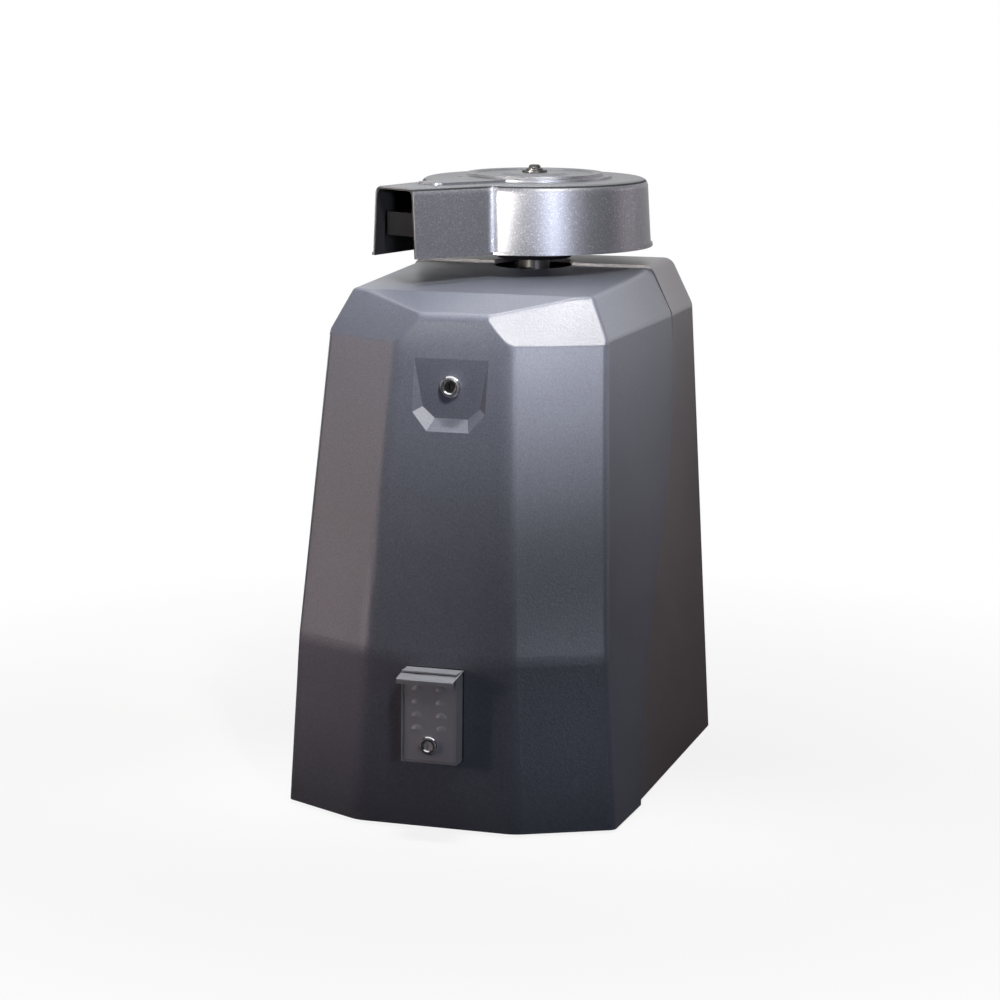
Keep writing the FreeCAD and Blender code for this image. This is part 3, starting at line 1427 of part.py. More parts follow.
def make_gearbox():
    """The cast case round the worm set, with its lid, bearings, caps and seal."""
    base = size.shelf_top
    floor = base + size.case_floor
    top = size.case_top
    y = size.shaft_reach
    drum = cylinder("case_drum", size.case_radius, top - base, (0, y, base))
    tube_half = size.worm_tube_half_length
    worm_at = (-tube_half, worm_reach(), size.wheel_height)
    tube = cylinder("case_tube", size.worm_tube_radius, 2 * tube_half, worm_at, ALONG_X)
    foot = block("case_foot", both(size.case_flange_half_width), (size.case_flange_front,
                                                                  size.case_flange_back),
                 (base, base + size.case_flange_thickness))
    tools = [
        cylinder("case_room", size.case_cavity_radius, top - floor, (0, y, floor)),
        cylinder("case_seat", size.shaft_bearing_radius, size.shaft_bearing_width,
                 (0, y, floor - size.shaft_bearing_width)),
        cylinder("case_bore", size.worm_bearing_radius, 2 * tube_half, worm_at, ALONG_X),
    ]
    grip = size.frame_bolt_radius
    for number, (x, at_y) in enumerate(case_bolt_points(), start=1):
        tools.append(cylinder(f"case_hole_{number}", grip, 2 * size.case_flange_thickness, (x, at_y, base)))
    for number, (x, at_y) in enumerate(lid_bolt_points(), start=1):
        tools.append(cylinder(f"lid_tap_{number}", grip, size.lid_thickness * 2,
                              (x, at_y, top - size.lid_thickness * 2)))
    piece("gearbox_case", cut("case_bored", fuse("case_cast", [drum, tube, foot]), tools))

    lid_low = top - size.shaft_bearing_width
    lid_high = top + size.lid_thickness
    seat = size.shaft_bearing_radius
    lid = turned("lid_blank", [
        (seat, lid_low), (seat + size.lid_boss_wall, lid_low), (seat + size.lid_boss_wall, top),
        (size.case_radius, top), (size.case_radius, lid_high), (size.seal_radius, lid_high),
        (size.seal_radius, top), (seat, top)], (0, y, 0))
    holes = [cylinder(f"lid_hole_{number}", grip, size.lid_thickness, (x, at_y, top))
             for number, (x, at_y) in enumerate(lid_bolt_points(), start=1)]
    piece("gearbox_lid", cut("lid_drilled", lid, holes))

    run = size.shaft_radius + size.running_gap
    piece("shaft_bearings", group("shaft_bearing_pair", [
        ring("shaft_bearing_low", run, seat, size.shaft_bearing_width,
             (0, y, floor - size.shaft_bearing_width)),
        ring("shaft_bearing_high", run, seat, size.shaft_bearing_width, (0, y, lid_low))]))
    piece("shaft_seal", ring("seal_ring", run, size.seal_radius, size.lid_thickness, (0, y, top)))

    neck = size.worm_neck_radius + size.running_gap
    width = size.worm_bearing_width
    outer_face = tube_half - size.worm_cap_spigot
    worm_y = worm_reach()
    z = size.wheel_height
    piece("worm_bearings", group("worm_bearing_pair", [
        ring("worm_bearing_left", neck, size.worm_bearing_radius, width, (-outer_face, worm_y, z), ALONG_X),
        ring("worm_bearing_right", neck, size.worm_bearing_radius, width, (outer_face - width, worm_y, z),
             ALONG_X)]))
    spigot = size.worm_cap_spigot
    caps = []
    for side, sign, bore in (("left", -1, dim(0)), ("right", 1, neck)):
        face = tube_half + size.worm_cap_thickness
        profile = [(bore, face), (size.worm_tube_radius, face),
                   (size.worm_tube_radius, tube_half), (size.worm_bearing_radius, tube_half),
                   (size.worm_bearing_radius, tube_half - spigot), (neck + 4, tube_half - spigot),
                   (neck + 4, tube_half), (bore, tube_half)]
        turn = ALONG_X if sign > 0 else Rotation(Vector(0, 1, 0), -90)
        caps.append(turned(f"worm_cap_{side}", profile, (0, worm_y, z), turn))
    piece("worm_caps", group("worm_cap_pair", caps))

    head = size.frame_bolt_head_radius
    tall = size.frame_bolt_head_height
    bolts = [bolt(f"case_bolt_{number}", grip, head, tall,
                  size.case_flange_thickness + size.cross_sheet + 6,
                  (x, at_y, base + size.case_flange_thickness))
             for number, (x, at_y) in enumerate(case_bolt_points(), start=1)]
    bolts += [bolt(f"lid_bolt_{number}", grip, head - 1, tall, size.lid_thickness * 2, (x, at_y, lid_high))
              for number, (x, at_y) in enumerate(lid_bolt_points(), start=1)]
    piece("gearbox_bolts", group("gearbox_bolt_set", bolts))


def pulley_profile(radius, bore, webbed):
    """A grooved pulley, from its bore to its rim."""
    half = size.pulley_width / 2
    floor = radius - size.groove_depth
    low = size.groove_floor_half_width
    high = low + size.groove_depth * tan(size.groove_angle)
    groove = [(radius, -high), (floor, -low), (floor, low), (radius, high)]
    if not webbed:
        return [(bore, -half), (radius, -half), *groove, (radius, half), (bore, half)]
    hub = bore + size.pulley_rim
    inside = floor - size.pulley_rim / 2
    web = size.pulley_web_half
    return [(bore, -half), (hub, -half), (hub, -web), (inside, -web), (inside, -half), (radius, -half),
            *groove,
            (radius, half), (inside, half), (inside, web), (hub, web), (hub, half), (bore, half)]


def loop_round(sketch, first, second, apart):
    """A closed loop round two circles: first at the sketch's origin, second apart along its +x."""
    lean = (first.value - second.value) / apart.value
    up = math.sqrt(1 - lean * lean)
    angle = math.atan2(up, lean)
    normal = Vector(0, 0, 1)
    near = sketch.addGeometry(Part.ArcOfCircle(Part.Circle(Vector(), normal, first.value), angle,
                                               2 * math.pi - angle))
    far_centre = Vector(apart.value, 0, 0)
    far = sketch.addGeometry(Part.ArcOfCircle(Part.Circle(far_centre, normal, second.value), -angle, angle))
    for sign, near_end, far_end in ((1, 1, 2), (-1, 2, 1)):
        direction = Vector(lean, sign * up, 0)
        line = sketch.addGeometry(Part.LineSegment(direction * first.value,
                                                   far_centre + direction * second.value))
        sketch.addConstraint(Sketcher.Constraint("Tangent", line, 1, near, near_end))
        sketch.addConstraint(Sketcher.Constraint("Tangent", line, 2, far, far_end))
    pin(sketch, near, 3, 0, 0)
    pin(sketch, far, 3, apart, 0)
    for arc, radius in ((near, first), (far, second)):
        index = sketch.addConstraint(Sketcher.Constraint("Radius", arc, radius.value))
        sketch.setExpression(f"Constraints[{index}]", radius.text)


def make_belt_drive():
    """The two pulleys and the belt between them."""
    x = size.belt_plane
    z = size.wheel_height
    y = worm_reach()
    motor_y = -size.motor_reach
    motor_z = size.motor_height
    piece("driven_pulley", turned("driven_pulley_body", pulley_profile(
        size.driven_pulley_radius, size.worm_neck_radius, True), (x, y, z), ALONG_X))
    piece("motor_pulley", turned("motor_pulley_body", pulley_profile(
        size.motor_pulley_radius, size.motor_shaft_radius, False), (x, motor_y, motor_z), ALONG_X))
    rise = z - motor_z
    run = y - motor_y
    apart = root(rise * rise + run * run)
    belt = doc.addObject("Sketcher::SketchObject", "belt_path")
    outer = size.belt_proud
    inner = size.belt_proud - size.belt_thickness
    for step in (outer, inner):
        loop_round(belt, size.motor_pulley_radius + step, size.driven_pulley_radius + step, apart)
    along = Rotation(Vector(0, run.value, rise.value), Vector(), Vector(1, 0, 0), "XZY")
    place(belt, (x - size.belt_half_width, motor_y, motor_z), along)
    piece("v_belt", extrude("belt", belt, size.belt_half_width * 2))


def make_motor():
    """The motor on its saddle, with its shell, core, end bells, bands and capacitor."""
    y = -size.motor_reach
    z = size.motor_height
    left = -size.motor_left
    length = size.motor_left + size.motor_right
    outer = size.motor_radius
    wall = size.motor_shell_wall
    piece("motor_shell", ring("motor_tube", outer - wall, outer, length, (left, y, z), ALONG_X))
    core_start = left + (length - size.core_length) / 2
    gap = size.rotor_radius + size.air_gap
    piece("motor_stator", ring("stator_core", gap, outer - wall, size.core_length, (core_start, y, z),
                               ALONG_X))
    shaft = size.motor_shaft_radius
    nose = size.bell_nose_radius
    bell = size.bell_length
    bore = shaft + size.running_gap
    profile = [(bore, 0), (outer, 0), (outer, bell * 0.4, bell * 0.3), (nose, bell * 0.8), (nose, bell),
               (bore, bell)]
    right = dim(0) + size.motor_right
    bells = [turned("bell_right", profile, (right, y, z), ALONG_X),
             turned("bell_left", profile, (left, y, z), Rotation(Vector(0, 1, 0), -90))]
    piece("motor_end_bells", group("bell_pair", bells))
    rotor = size.rotor_radius
    start = left - bell + 2
    end = size.belt_plane + size.pulley_width / 2 + 2
    piece("motor_rotor", turned("rotor_body", [
        (0, start), (shaft, start), (shaft, core_start), (rotor, core_start), (rotor,
                                                                               core_start + size.core_length),
        (shaft, core_start + size.core_length), (shaft, end), (0, end)], (0, y, z), ALONG_X))
    bands = []
    saddles = []
    low = size.plate_thickness
    plate_top = low + size.mount_plate_thickness
    for number, x in enumerate((left + size.band_inset, right - size.band_inset - size.band_width),
                               start=1):
        bands.append(ring(f"band_{number}", outer, outer + size.band_thickness, size.band_width, (x, y, z),
                          ALONG_X))
    for number, x in enumerate((left + size.saddle_inset, right - size.saddle_inset - size.saddle_width),
                               start=1):
        saddles.append(block(f"saddle_{number}", (x, x + size.saddle_width),
                             (y - size.saddle_half_depth, y + size.saddle_half_depth),
                             (plate_top, low + size.saddle_rise)))
    piece("motor_bands", group("band_pair", bands))
    plate = block("mount_plate", (left + size.saddle_inset, right - size.saddle_inset),
                  (y - size.saddle_half_depth, y + size.saddle_half_depth), (low, plate_top))
    hollow = cylinder("saddle_hollow", outer, length, (left, y, z), ALONG_X)
    piece("motor_mount", cut("mount_hollowed", fuse("mount_welded", [plate, *saddles]), [hollow]))
    can = size.capacitor_radius
    tall = size.capacitor_height
    piece("motor_capacitor", turned("capacitor_can", [
        (0, 0), (can, 0), (can, tall - 6), (can - 2, tall - 4), (can - 4, tall - 6), (6, tall - 6),
        (6, tall), (0, tall)],
        (size.capacitor_x, -size.capacitor_reach, low)))


def post_foot_bolts():
    for sign in (-1, 1):
        for y in (size.post_front + size.post_foot_inset + size.frame_bolt_inset,
                  size.post_back - size.post_foot_inset - size.frame_bolt_inset):
            yield sign * (size.post_inner + size.post_foot * 0.6), y


def cross_bolt_points():
    for top in (size.shelf_top, size.frame_top):
        for y in (size.post_front + size.frame_bolt_inset, size.post_back - size.frame_bolt_inset):
            yield y, top - size.cross_sheet - size.frame_bolt_drop


def flange_bolt_points():
    for number in range(4):
        angle = math.radians(45 + 90 * number)
        yield (size.flange_bolt_circle * math.cos(angle),
               size.shaft_reach + size.flange_bolt_circle * math.sin(angle))


def make_frame():
    """The welded and bolted steel frame that everything stands on."""
    thick = size.plate_thickness
    corners = rectangle(size.plate_half_width, size.plate_half_depth, size.plate_round)
    grip = size.frame_bolt_radius
    anchors = [(x, y,
                size.anchor_hole_radius) for x in both(size.anchor_half_x) for y in both(size.anchor_half_y)]
    taps = [(x, y, grip) for x, y in post_foot_bolts()]
    plate = padded("plate", corners, thick, holes=anchors + taps)
    conduit = block("conduit_cut", both(size.conduit_half_width),
                    (size.conduit_centre - size.conduit_half_depth,
                     size.conduit_centre + size.conduit_half_depth),
                    (-thick, 2 * thick))
    piece("base_plate", cut("plate_cut", plate, [conduit]))

    inner = size.post_inner
    sheet_t = size.post_sheet
    front = size.post_front
    back = size.post_back
    for side, sign in (("left", -1), ("right", 1)):
        channel = [(inner, front), (inner + size.post_flange, front), (inner + size.post_flange,
                                                                       front + sheet_t),
                   (inner + sheet_t, front + sheet_t), (inner + sheet_t, back - sheet_t),
                   (inner + size.post_flange, back - sheet_t), (inner + size.post_flange, back), (inner,
                                                                                                  back)]
        channel = [(x * sign, y) for x, y in channel]
        if sign < 0:
            channel.reverse()
        web = padded(f"post_{side}_channel", channel, size.frame_top - size.cross_sheet - thick,
                     (0, 0, thick))
        span = sorted(((inner + sheet_t) * sign, (inner + size.post_foot) * sign),
                      key=lambda value: value.value)
        foot = block(f"post_{side}_foot", span, (front + size.post_foot_inset, back - size.post_foot_inset),
                     (thick, thick + sheet_t))
        tools = [cylinder(f"post_{side}_foot_hole_{number}", grip, sheet_t, (x, y, thick))
                 for number, (x, y) in enumerate(post_foot_bolts(), start=1) if x.value * sign > 0]
        for number, (y, z) in enumerate(cross_bolt_points(), start=1):
            tools.append(cylinder(f"post_{side}_hole_{number}", grip, 4 * inner, (-2 * inner, y, z),
                                  ALONG_X))
        if sign > 0:
            reach = size.driven_pulley_radius + size.belt_clearance
            tools.append(block("belt_notch", (inner + 2 * sheet_t, inner + 2 * size.post_flange),
                               (front - sheet_t, front + 2 * sheet_t),
                               (size.wheel_height - reach, size.wheel_height + reach)))
        piece(f"frame_post_{side}", cut(f"post_{side}_drilled", fuse(f"post_{side}", [web, foot]), tools))

    cross_piece("gearbox_shelf", size.shelf_top, size.shelf_front, [
        (x, y, grip) for x, y in case_bolt_points()])
    shaft_hole = [(dim(0), size.shaft_reach, size.shaft_radius * 1.5)]
    cross_piece("top_plate", size.frame_top, size.top_plate_front, shaft_hole + [
        (x, y, grip) for x, y in flange_bolt_points()] + [
        (x, size.catch_bolt_reach, grip) for x in both(size.catch_half_width / 2)])

    boss = size.flange_bearing_boss_radius
    flange = size.flange_bearing_radius
    run = size.shaft_radius + size.running_gap
    top = size.frame_top
    thin = size.flange_bearing_thickness
    tall = size.flange_bearing_height
    housing = turned("flange_housing", [
        (run, 0), (flange, 0), (flange, thin), (boss, thin), (boss - 2, tall - 3), (boss - 6, tall), (run,
                                                                                                      tall)],
        (0, size.shaft_reach, top))
    holes = [cylinder(f"flange_hole_{number}", grip, tall, (x, y, top))
             for number, (x, y) in enumerate(flange_bolt_points(), start=1)]
    piece("flange_bearing", cut("flange_drilled", housing, holes))

    head = size.frame_bolt_head_radius
    head_t = size.frame_bolt_head_height
    bolts = []
    for x, y in post_foot_bolts():
        bolts.append(bolt(f"foot_bolt_{len(bolts)}", grip, head, head_t, sheet_t + thick - 1,
                          (x, y, thick + sheet_t)))
    for sign in (-1, 1):
        turn = ALONG_X if sign > 0 else Rotation(Vector(0, 1, 0), -90)
        for y, z in cross_bolt_points():
            bolts.append(bolt(f"cross_bolt_{len(bolts)}", grip, head, head_t,
                              sheet_t + size.cross_sheet + 4,
                              (sign * (inner + sheet_t), y, z), turn))
    for x, y in flange_bolt_points():
        bolts.append(bolt(f"flange_bolt_{len(bolts)}", grip, head, head_t, thin + size.cross_sheet + 4,
                          (x, y, top + thin)))
    for x in both(size.catch_half_width / 2):
        bolts.append(bolt(f"catch_bolt_{len(bolts)}", grip, head, head_t,
                          size.cross_sheet + size.catch_sheet + 4,
                          (x, size.catch_bolt_reach, top)))
    piece("frame_bolts", group("frame_bolt_set", bolts))


def cross_piece(label, top, front, holes):
    """A folded plate between the posts: a flat top with a flange turned down against each post."""
    half = size.post_inner
    sheet_t = size.cross_sheet
    drop = size.cross_drop
    profile = [
        (half, top - drop), (half, top), (-half, top), (-half, top - drop),
        (-half + sheet_t, top - drop), (-half + sheet_t, top - sheet_t), (half - sheet_t, top - sheet_t),
        (half - sheet_t, top - drop)]
    sketch = outline(f"{label}_profile", profile, (0, size.post_back, 0), FACING_FRONT)
    folded = extrude(f"{label}_folded", sketch, size.post_back - front)
    tools = [cylinder(f"{label}_hole_{number}", radius, 2 * sheet_t, (x, y, top - 1.5 * sheet_t))
             for number, (x, y, radius) in enumerate(holes, start=1)]
    for number, (y, z) in enumerate(cross_bolt_points(), start=1):
        tools.append(cylinder(f"{label}_side_hole_{number}", size.frame_bolt_radius, 4 * half,
                              (-2 * half, y, z), ALONG_X))
    piece(label, cut(f"{label}_drilled", folded, tools))


def make_limits():
    """Two lobed cams on the shaft, and the switches that they trip."""
    y = size.shaft_reach
    lobe = size.cam_lobe_radius
    cams = []
    switches = []
    lobe_half = size.cam_lobe_half_width
    back = y + lobe + size.switch_gap
    for number, sign in enumerate((-1, 1)):
        z = size.cam_first_height + number * size.cam_pitch
        span = (-lobe, dim(0)) if sign < 0 else (dim(0), lobe)
        disc = cylinder(f"cam_disc_{number}", size.cam_radius, size.cam_thickness, (0, y, z))
        full = cylinder(f"cam_full_{number}", lobe, size.cam_thickness, (0, y, z))
        nose = common(f"cam_nose_{number}",
                      [full, block(f"cam_lobe_{number}", span, (y - lobe_half, y + lobe_half),
                                                         (z, z + size.cam_thickness))])
        bore = cylinder(f"cam_bore_{number}", size.shaft_radius, size.cam_thickness, (0, y, z))
        cams.append(cut(f"cam_{number}", fuse(f"cam_blank_{number}", [disc, nose]), [bore]))
        low = z + size.cam_thickness / 2 - size.switch_height / 2
        switches.append(block(f"switch_{number}", both(size.switch_half_width),
                              (back, back + size.switch_depth),
                              (low, low + size.switch_height)))
    piece("limit_cams", group("cam_pair", cams))
    piece("limit_switches", group("switch_pair", switches))
    under = size.frame_top - size.cross_sheet
    face = back + size.switch_depth
    thin = size.switch_bracket_sheet
    half = size.switch_bracket_half_width
    plate = block("switch_plate", both(half), (face, face + thin), (size.cam_first_height, under))
    tab = block("switch_tab", both(half), (face - size.switch_bracket_tab, face + thin), (under - thin,
                                                                                          under))
    piece("switch_bracket", fuse("switch_bracket_bent", [plate, tab]))


def make_controls():
    """The control box in front of the gearbox, with its board and transformer."""
    half = size.control_half_width
    front = -size.control_front
    back = -size.control_back
    low = size.control_bottom
    high = size.control_top
    thin = size.control_sheet
    tray = block("control_block", both(half), (front, back), (low, high))
    room = block("control_room", both(half - thin), (front - thin, back - thin), (low + thin, high - thin))
    piece("control_box", cut("control_tray", tray, [room]))
    lid = padded("control_lid_plate", rectangle(half, (high - low) / 2, thin * 3), thin,
                 (0, front, (low + high) / 2), FACING_FRONT)
    piece("control_lid", lid)
    bars = []
    for side, span in (("left", (-size.post_inner, -half)), ("right", (dim(0) + half, size.post_inner))):
        bars.append(block(f"control_bar_{side}", span, (-size.arm_bar_front, size.arm_bar_back),
                          (size.arm_bar_bottom, size.arm_bar_bottom + size.arm_bar_height)))
    piece("control_arms", group("control_bar_pair", bars))

    board_back = back - thin - size.standoff_length
    board_front = board_back - size.board_thickness
    edge = size.board_edge
    board_half = size.board_half_width
    piece("circuit_board", block("board", both(board_half), (board_front, board_back),
                                 (low + edge, high - edge)))
    posts = []
    inset = size.standoff_inset
    for x in both(board_half - inset):
        for z in (low + edge + inset, high - edge - inset):
            posts.append(cylinder(f"standoff_{len(posts)}", size.standoff_radius, size.standoff_length,
                                  (x, board_back, z), ALONG_Y))
    parts = posts
    for number in range(3):
        x = (number - 1) * size.relay_pitch
        parts.append(block(f"relay_{number}", (x - size.relay_width / 2, x + size.relay_width / 2),
                           (board_front - size.relay_depth, board_front),
                           (low + size.relay_rise, low + size.relay_rise + size.relay_height)))
    strip = low + size.relay_rise + 2 * size.relay_height
    parts.append(block("terminal_strip", both(size.terminal_half_width),
                       (board_front - size.terminal_depth, board_front),
                       (strip, strip + size.terminal_height)))
    piece("board_parts", group("board_part_set", parts))
    x = size.transformer_x
    core = block("transformer_core", (x, x + size.transformer_width),
                 (front + thin * 2, front + thin * 2 + size.transformer_depth),
                 (low + thin, low + thin + size.transformer_height))
    piece("transformer", core)


make_covers()
make_cover_lock()
make_station()
make_rear_fixings()
make_arm()
make_shaft()
make_worm_set()
make_gearbox()
make_belt_drive()
make_motor()
make_frame()
make_limits()
make_controls()
doc.recompute()

faults = [item.Name for item in doc.Objects if {"Invalid", "Error"} & set(item.State)]
faults += [name for name, solid in pieces.items() if solid.Shape.isNull() or not solid.Shape.isValid()]
if faults:
    raise RuntimeError(f"these did not build: {faults}")
os.makedirs("parts", exist_ok=True)
for name, solid in pieces.items():
    solid.Shape.exportStep(f"parts/{name}.step")
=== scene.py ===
"""Looks for the swing gate operator: finishes, studio light and camera."""
import math

import bpy
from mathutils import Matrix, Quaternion, Vector

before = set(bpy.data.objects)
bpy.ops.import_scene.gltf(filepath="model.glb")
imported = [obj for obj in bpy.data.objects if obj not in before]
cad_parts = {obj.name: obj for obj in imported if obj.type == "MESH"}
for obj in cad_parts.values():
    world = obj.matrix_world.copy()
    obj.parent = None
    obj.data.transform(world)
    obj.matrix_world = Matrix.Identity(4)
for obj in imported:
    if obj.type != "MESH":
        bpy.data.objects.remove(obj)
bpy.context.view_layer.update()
MM = 0.001

# The arm cover's sizes, which tell its inner faces from its outer ones.
SHAFT_REACH = 104 * MM
ARM_RIM = 580 * MM
ARM_HEADING = math.radians(27.5)
ARM_HEIGHT = 75 * MM
ARM_WALL = 3.3 * MM
ARM_HUB = 131 * MM
ARM_DRAFT = math.radians(3.5)
ARM_REACH = 214 * MM
ARM_HALF = 34 * MM
ARM_SPREAD = math.radians(12)

# The camera, from a fit of the housing's corners.
PHOTO_LENS = 100.08
PHOTO_SENSOR = 36
PHOTO_SHIFT = (-0.00204, 0.00157)
PHOTO_PLACE = (0.8983, -2.88625, 0.88035)
PHOTO_AIM = (0, -0.0145, 0.3069)
PHOTO_ROLL = math.radians(0.163)
FAR_CLIP = 50

# The studio, in metres.
AMBIENT = 0.07
FLOOR_REACH = 6.0
FLOOR_FADE = 2
FLOOR_NEAR = (0.10, 0.86)
FLOOR_FAR = (0.55, 1.0)
FLAG_FRONT = -4.5
FLAG_BACK = 1.5
FLAG_SIDE = 4.4
FLAG_TOP = 5
FELT_SIDE = 3.5
FELT_FRONT = -4.4
FELT_BACK = 1.2
FELT_LIFT = 0.0005


class Value:
    """A shader socket that takes part in Python sums; each sum adds a Math node."""

    def __init__(self, shader, socket):
        self.shader = shader
        self.socket = socket

    def maths(self, operation, first, second=0.0):
        made = self.shader.node("ShaderNodeMath", {"operation": operation}, {0: first, 1: second})
        return Value(self.shader, made.outputs[0])

    def __add__(self, other):
        return self.maths("ADD", self, other)

    def __radd__(self, other):
        return self.maths("ADD", other, self)

    def __sub__(self, other):
        return self.maths("SUBTRACT", self, other)

    def __rsub__(self, other):
        return self.maths("SUBTRACT", other, self)

    def __mul__(self, other):
        return self.maths("MULTIPLY", self, other)

    def __truediv__(self, other):
        return self.maths("DIVIDE", self, other)

    def __pow__(self, other):
        return self.maths("POWER", self, other)

    def __gt__(self, other):
        return self.maths("GREATER_THAN", self, other)

    def __lt__(self, other):
        return self.maths("LESS_THAN", self, other)


class Shader:
    """The node tree of one material or world, whose surface is set last."""

    def __init__(self, name, owners=bpy.data.materials):
        self.owner = owners.new(name)
        self.owner.use_nodes = True
        self.tree = self.owner.node_tree
        self.tree.nodes.clear()
        self.place = self.node("ShaderNodeTexCoord").outputs["Object"]

    def node(self, kind, settings=None, sockets=None):
        """A node of that kind: its settings first, then the values or links of its sockets."""
        made = self.tree.nodes.new(kind)
        for key, setting in (settings or {}).items():
            if key == "stops":
                self.set_stops(made.color_ramp, setting)
            else:
                setattr(made, key, setting)
        for key, value in (sockets or {}).items():
            value = value.socket if isinstance(value, Value) else value
            if isinstance(value, bpy.types.NodeSocket):
                self.tree.links.new(value, made.inputs[key])
            else:
                made.inputs[key].default_value = value
        return made

    def set_stops(self, ramp, stops):
        """A ramp's two stops, as pairs of a place and a grey level."""
        for element, (position, level) in zip(ramp.elements, stops):
            element.position = position
            element.color = (level, level, level, 1)

    def axes(self):
        """The three coordinates of the place, in metres."""
        split = self.node("ShaderNodeSeparateXYZ", {}, {0: self.place})
        return [Value(self, split.outputs[axis]) for axis in "XYZ"]

    def noise(self, size, detail=3.0, rough=0.55, stretch=(1, 1, 1)):
        """Cloudy noise whose blotches are about that size in millimetres."""
        made = self.node("ShaderNodeTexNoise", {}, {
            "Vector": self.stretched(stretch), "Scale": 1 / (size * MM),
            "Detail": detail, "Roughness": rough})
        return Value(self, made.outputs["Fac"])

    def cells(self, size, output="Distance", feature="F1"):
        """A cellular pattern whose cells are about that size in millimetres."""
        made = self.node("ShaderNodeTexVoronoi", {"feature": feature}, {
            "Vector": self.place, "Scale": 1 / (size * MM)})
        return Value(self, made.outputs[output])

    def stretched(self, stretch):
        """The place, scaled along its axes."""
        if stretch == (1, 1, 1):
            return self.place
        return self.node("ShaderNodeMapping", {}, {"Vector": self.place, "Scale": stretch}).outputs[0]

    def ramp(self, value, stops):
        """A grey level read off a ramp."""
        made = self.node("ShaderNodeValToRGB", {"stops": stops}, {0: value})
        return Value(self, made.outputs[0])

    def mix(self, share, first, second):
        """A colour between two colours."""
        made = self.node("ShaderNodeMix", {"data_type": "RGBA"}, {
            "Factor": share, 6: self.as_colour(first), 7: self.as_colour(second)})
        return made.outputs[2]

    def as_colour(self, colour):
        """A written colour gets its fourth part; a socket stays as it is."""
        return (*colour, 1) if isinstance(colour, tuple) else colour

    def bump(self, height, depth, strength=1.0):
        """A normal from a height that spans depth millimetres."""
        made = self.node("ShaderNodeBump", {}, {
            "Height": height, "Distance": depth * MM, "Strength": strength})
        return made.outputs[0]

    def finish(self, colour, rough, **others):
        """The surface: colour, roughness and whatever else differs from the usual."""
        names = {"metallic": "Metallic", "normal": "Normal",
                 "specular": "Specular IOR Level", "coat": "Coat Weight"}
        sockets = {"Base Color": self.as_colour(colour), "Roughness": rough}
        sockets.update({names[key]: value for key, value in others.items()})
        surface = self.node("ShaderNodeBsdfPrincipled", {}, sockets)
        self.node("ShaderNodeOutputMaterial", {}, {"Surface": surface.outputs[0]})
        return self.owner


def scaled(colour, share):
    """A colour made darker or lighter, up to white."""
    return tuple(min(part * share, 1) for part in colour)


def pebbled_plastic(name, dark, light):
    """Rotationally moulded polyethylene: a fine pebble, a faint mottle and small paler flecks."""
    s = Shader(name)
    pebble = s.cells(2.0, feature="SMOOTH_F1") * 0.7 + s.noise(1.4, 2) * 0.6
    mottle = s.noise(46, 4)
    grain = s.noise(1.9, 2, 0.7)
    tone = s.mix(mottle, dark, light)
    pitted = s.mix((grain < 0.42) * 0.4, tone, scaled(dark, 0.70))
    colour = s.mix((grain > 0.58) * 0.4, pitted, scaled(light, 1.30))
    rough = 0.28 + mottle * 0.08 + grain * 0.06
    return s.finish(colour, rough, normal=s.bump(pebble, 0.17, 0.8))


def hammered_finish():
    """A grey coating full of metal flake outside; the cover's inner faces are near black as painted shade.
    """
    s = Shader("hammered_finish")
    flake = s.cells(0.9, output="Color")
    dimples = s.cells(2.2, feature="SMOOTH_F1")
    cloud = s.noise(30, 3)
    tone = s.mix(flake, (0.125, 0.128, 0.140), (0.215, 0.220, 0.238))
    glint = (flake > 0.60) * (s.noise(2.4, 3) > 0.56)
    outside = s.mix(glint * 0.3, tone, (0.50, 0.50, 0.54))
    shaded_inside = arm_cover_inside(s)
    # The near-black on the cover's inner faces is painted shade: the shadow within the channel and hub.
    colour = s.mix(shaded_inside, outside, (0.010, 0.010, 0.011))
    rough = 0.33 + flake * 0.10 + cloud * 0.06 + shaded_inside * 0.3
    relief = dimples * 0.6 + flake * 0.3
    metal = (0.70 + glint * 0.2) * (1 - shaded_inside)
    return s.finish(colour, rough, metallic=metal, specular=0.35, normal=s.bump(relief, 0.08, 0.6))


def arm_cover_inside(s):
    """1 on the arm cover's inner faces and 0 on its outer ones, split halfway through its wall."""
    x, y, z = s.axes()
    y = y - SHAFT_REACH
    rise = z - ARM_RIM
    along = y * -math.cos(ARM_HEADING) - x * math.sin(ARM_HEADING)
    sideways = x * math.cos(ARM_HEADING) - y * math.sin(ARM_HEADING)
    across = sideways.maths("ABSOLUTE", sideways)
    draft = rise * math.tan(ARM_DRAFT) + ARM_WALL / 2
    in_hub = (x * x + y * y) ** 0.5 < ARM_HUB - draft
    half = (ARM_REACH - along) * math.tan(ARM_SPREAD) + ARM_HALF
    in_channel = (across < half - draft) * (along > 0.0)
    under_top = rise < ARM_HEIGHT - ARM_WALL / 2
    return in_hub.maths("MAXIMUM", in_hub, in_channel) * under_top


def satin_paint(name, colour, peel=0.05, rough=0.38, specular=0.45):
    """Sprayed paint on steel: faint orange peel, small shifts of tone."""
    s = Shader(name)
    cloud = s.noise(30, 3)
    skin = s.noise(1.6, 2)
    tone = s.mix(cloud, scaled(colour, 0.86), scaled(colour, 1.12))
    return s.finish(tone, rough - 0.06 + cloud * 0.12, specular=specular, normal=s.bump(skin, peel, 0.5))


def zinc_plate():
    """Bright zinc on steel: a faint spangle with worn, duller places."""
    s = Shader("zinc_plate")
    spangle = s.cells(9, output="Color")
    haze = s.noise(60, 4)
    skin = s.noise(2.2, 3)
    colour = s.mix(spangle, (0.46, 0.47, 0.48), (0.60, 0.60, 0.60))
    dulled = s.mix(haze * 0.5, colour, (0.36, 0.36, 0.35))
    rough = 0.28 + haze * 0.2 + spangle * 0.06
    return s.finish(dulled, rough, metallic=0.9, normal=s.bump(skin, 0.04, 0.4))


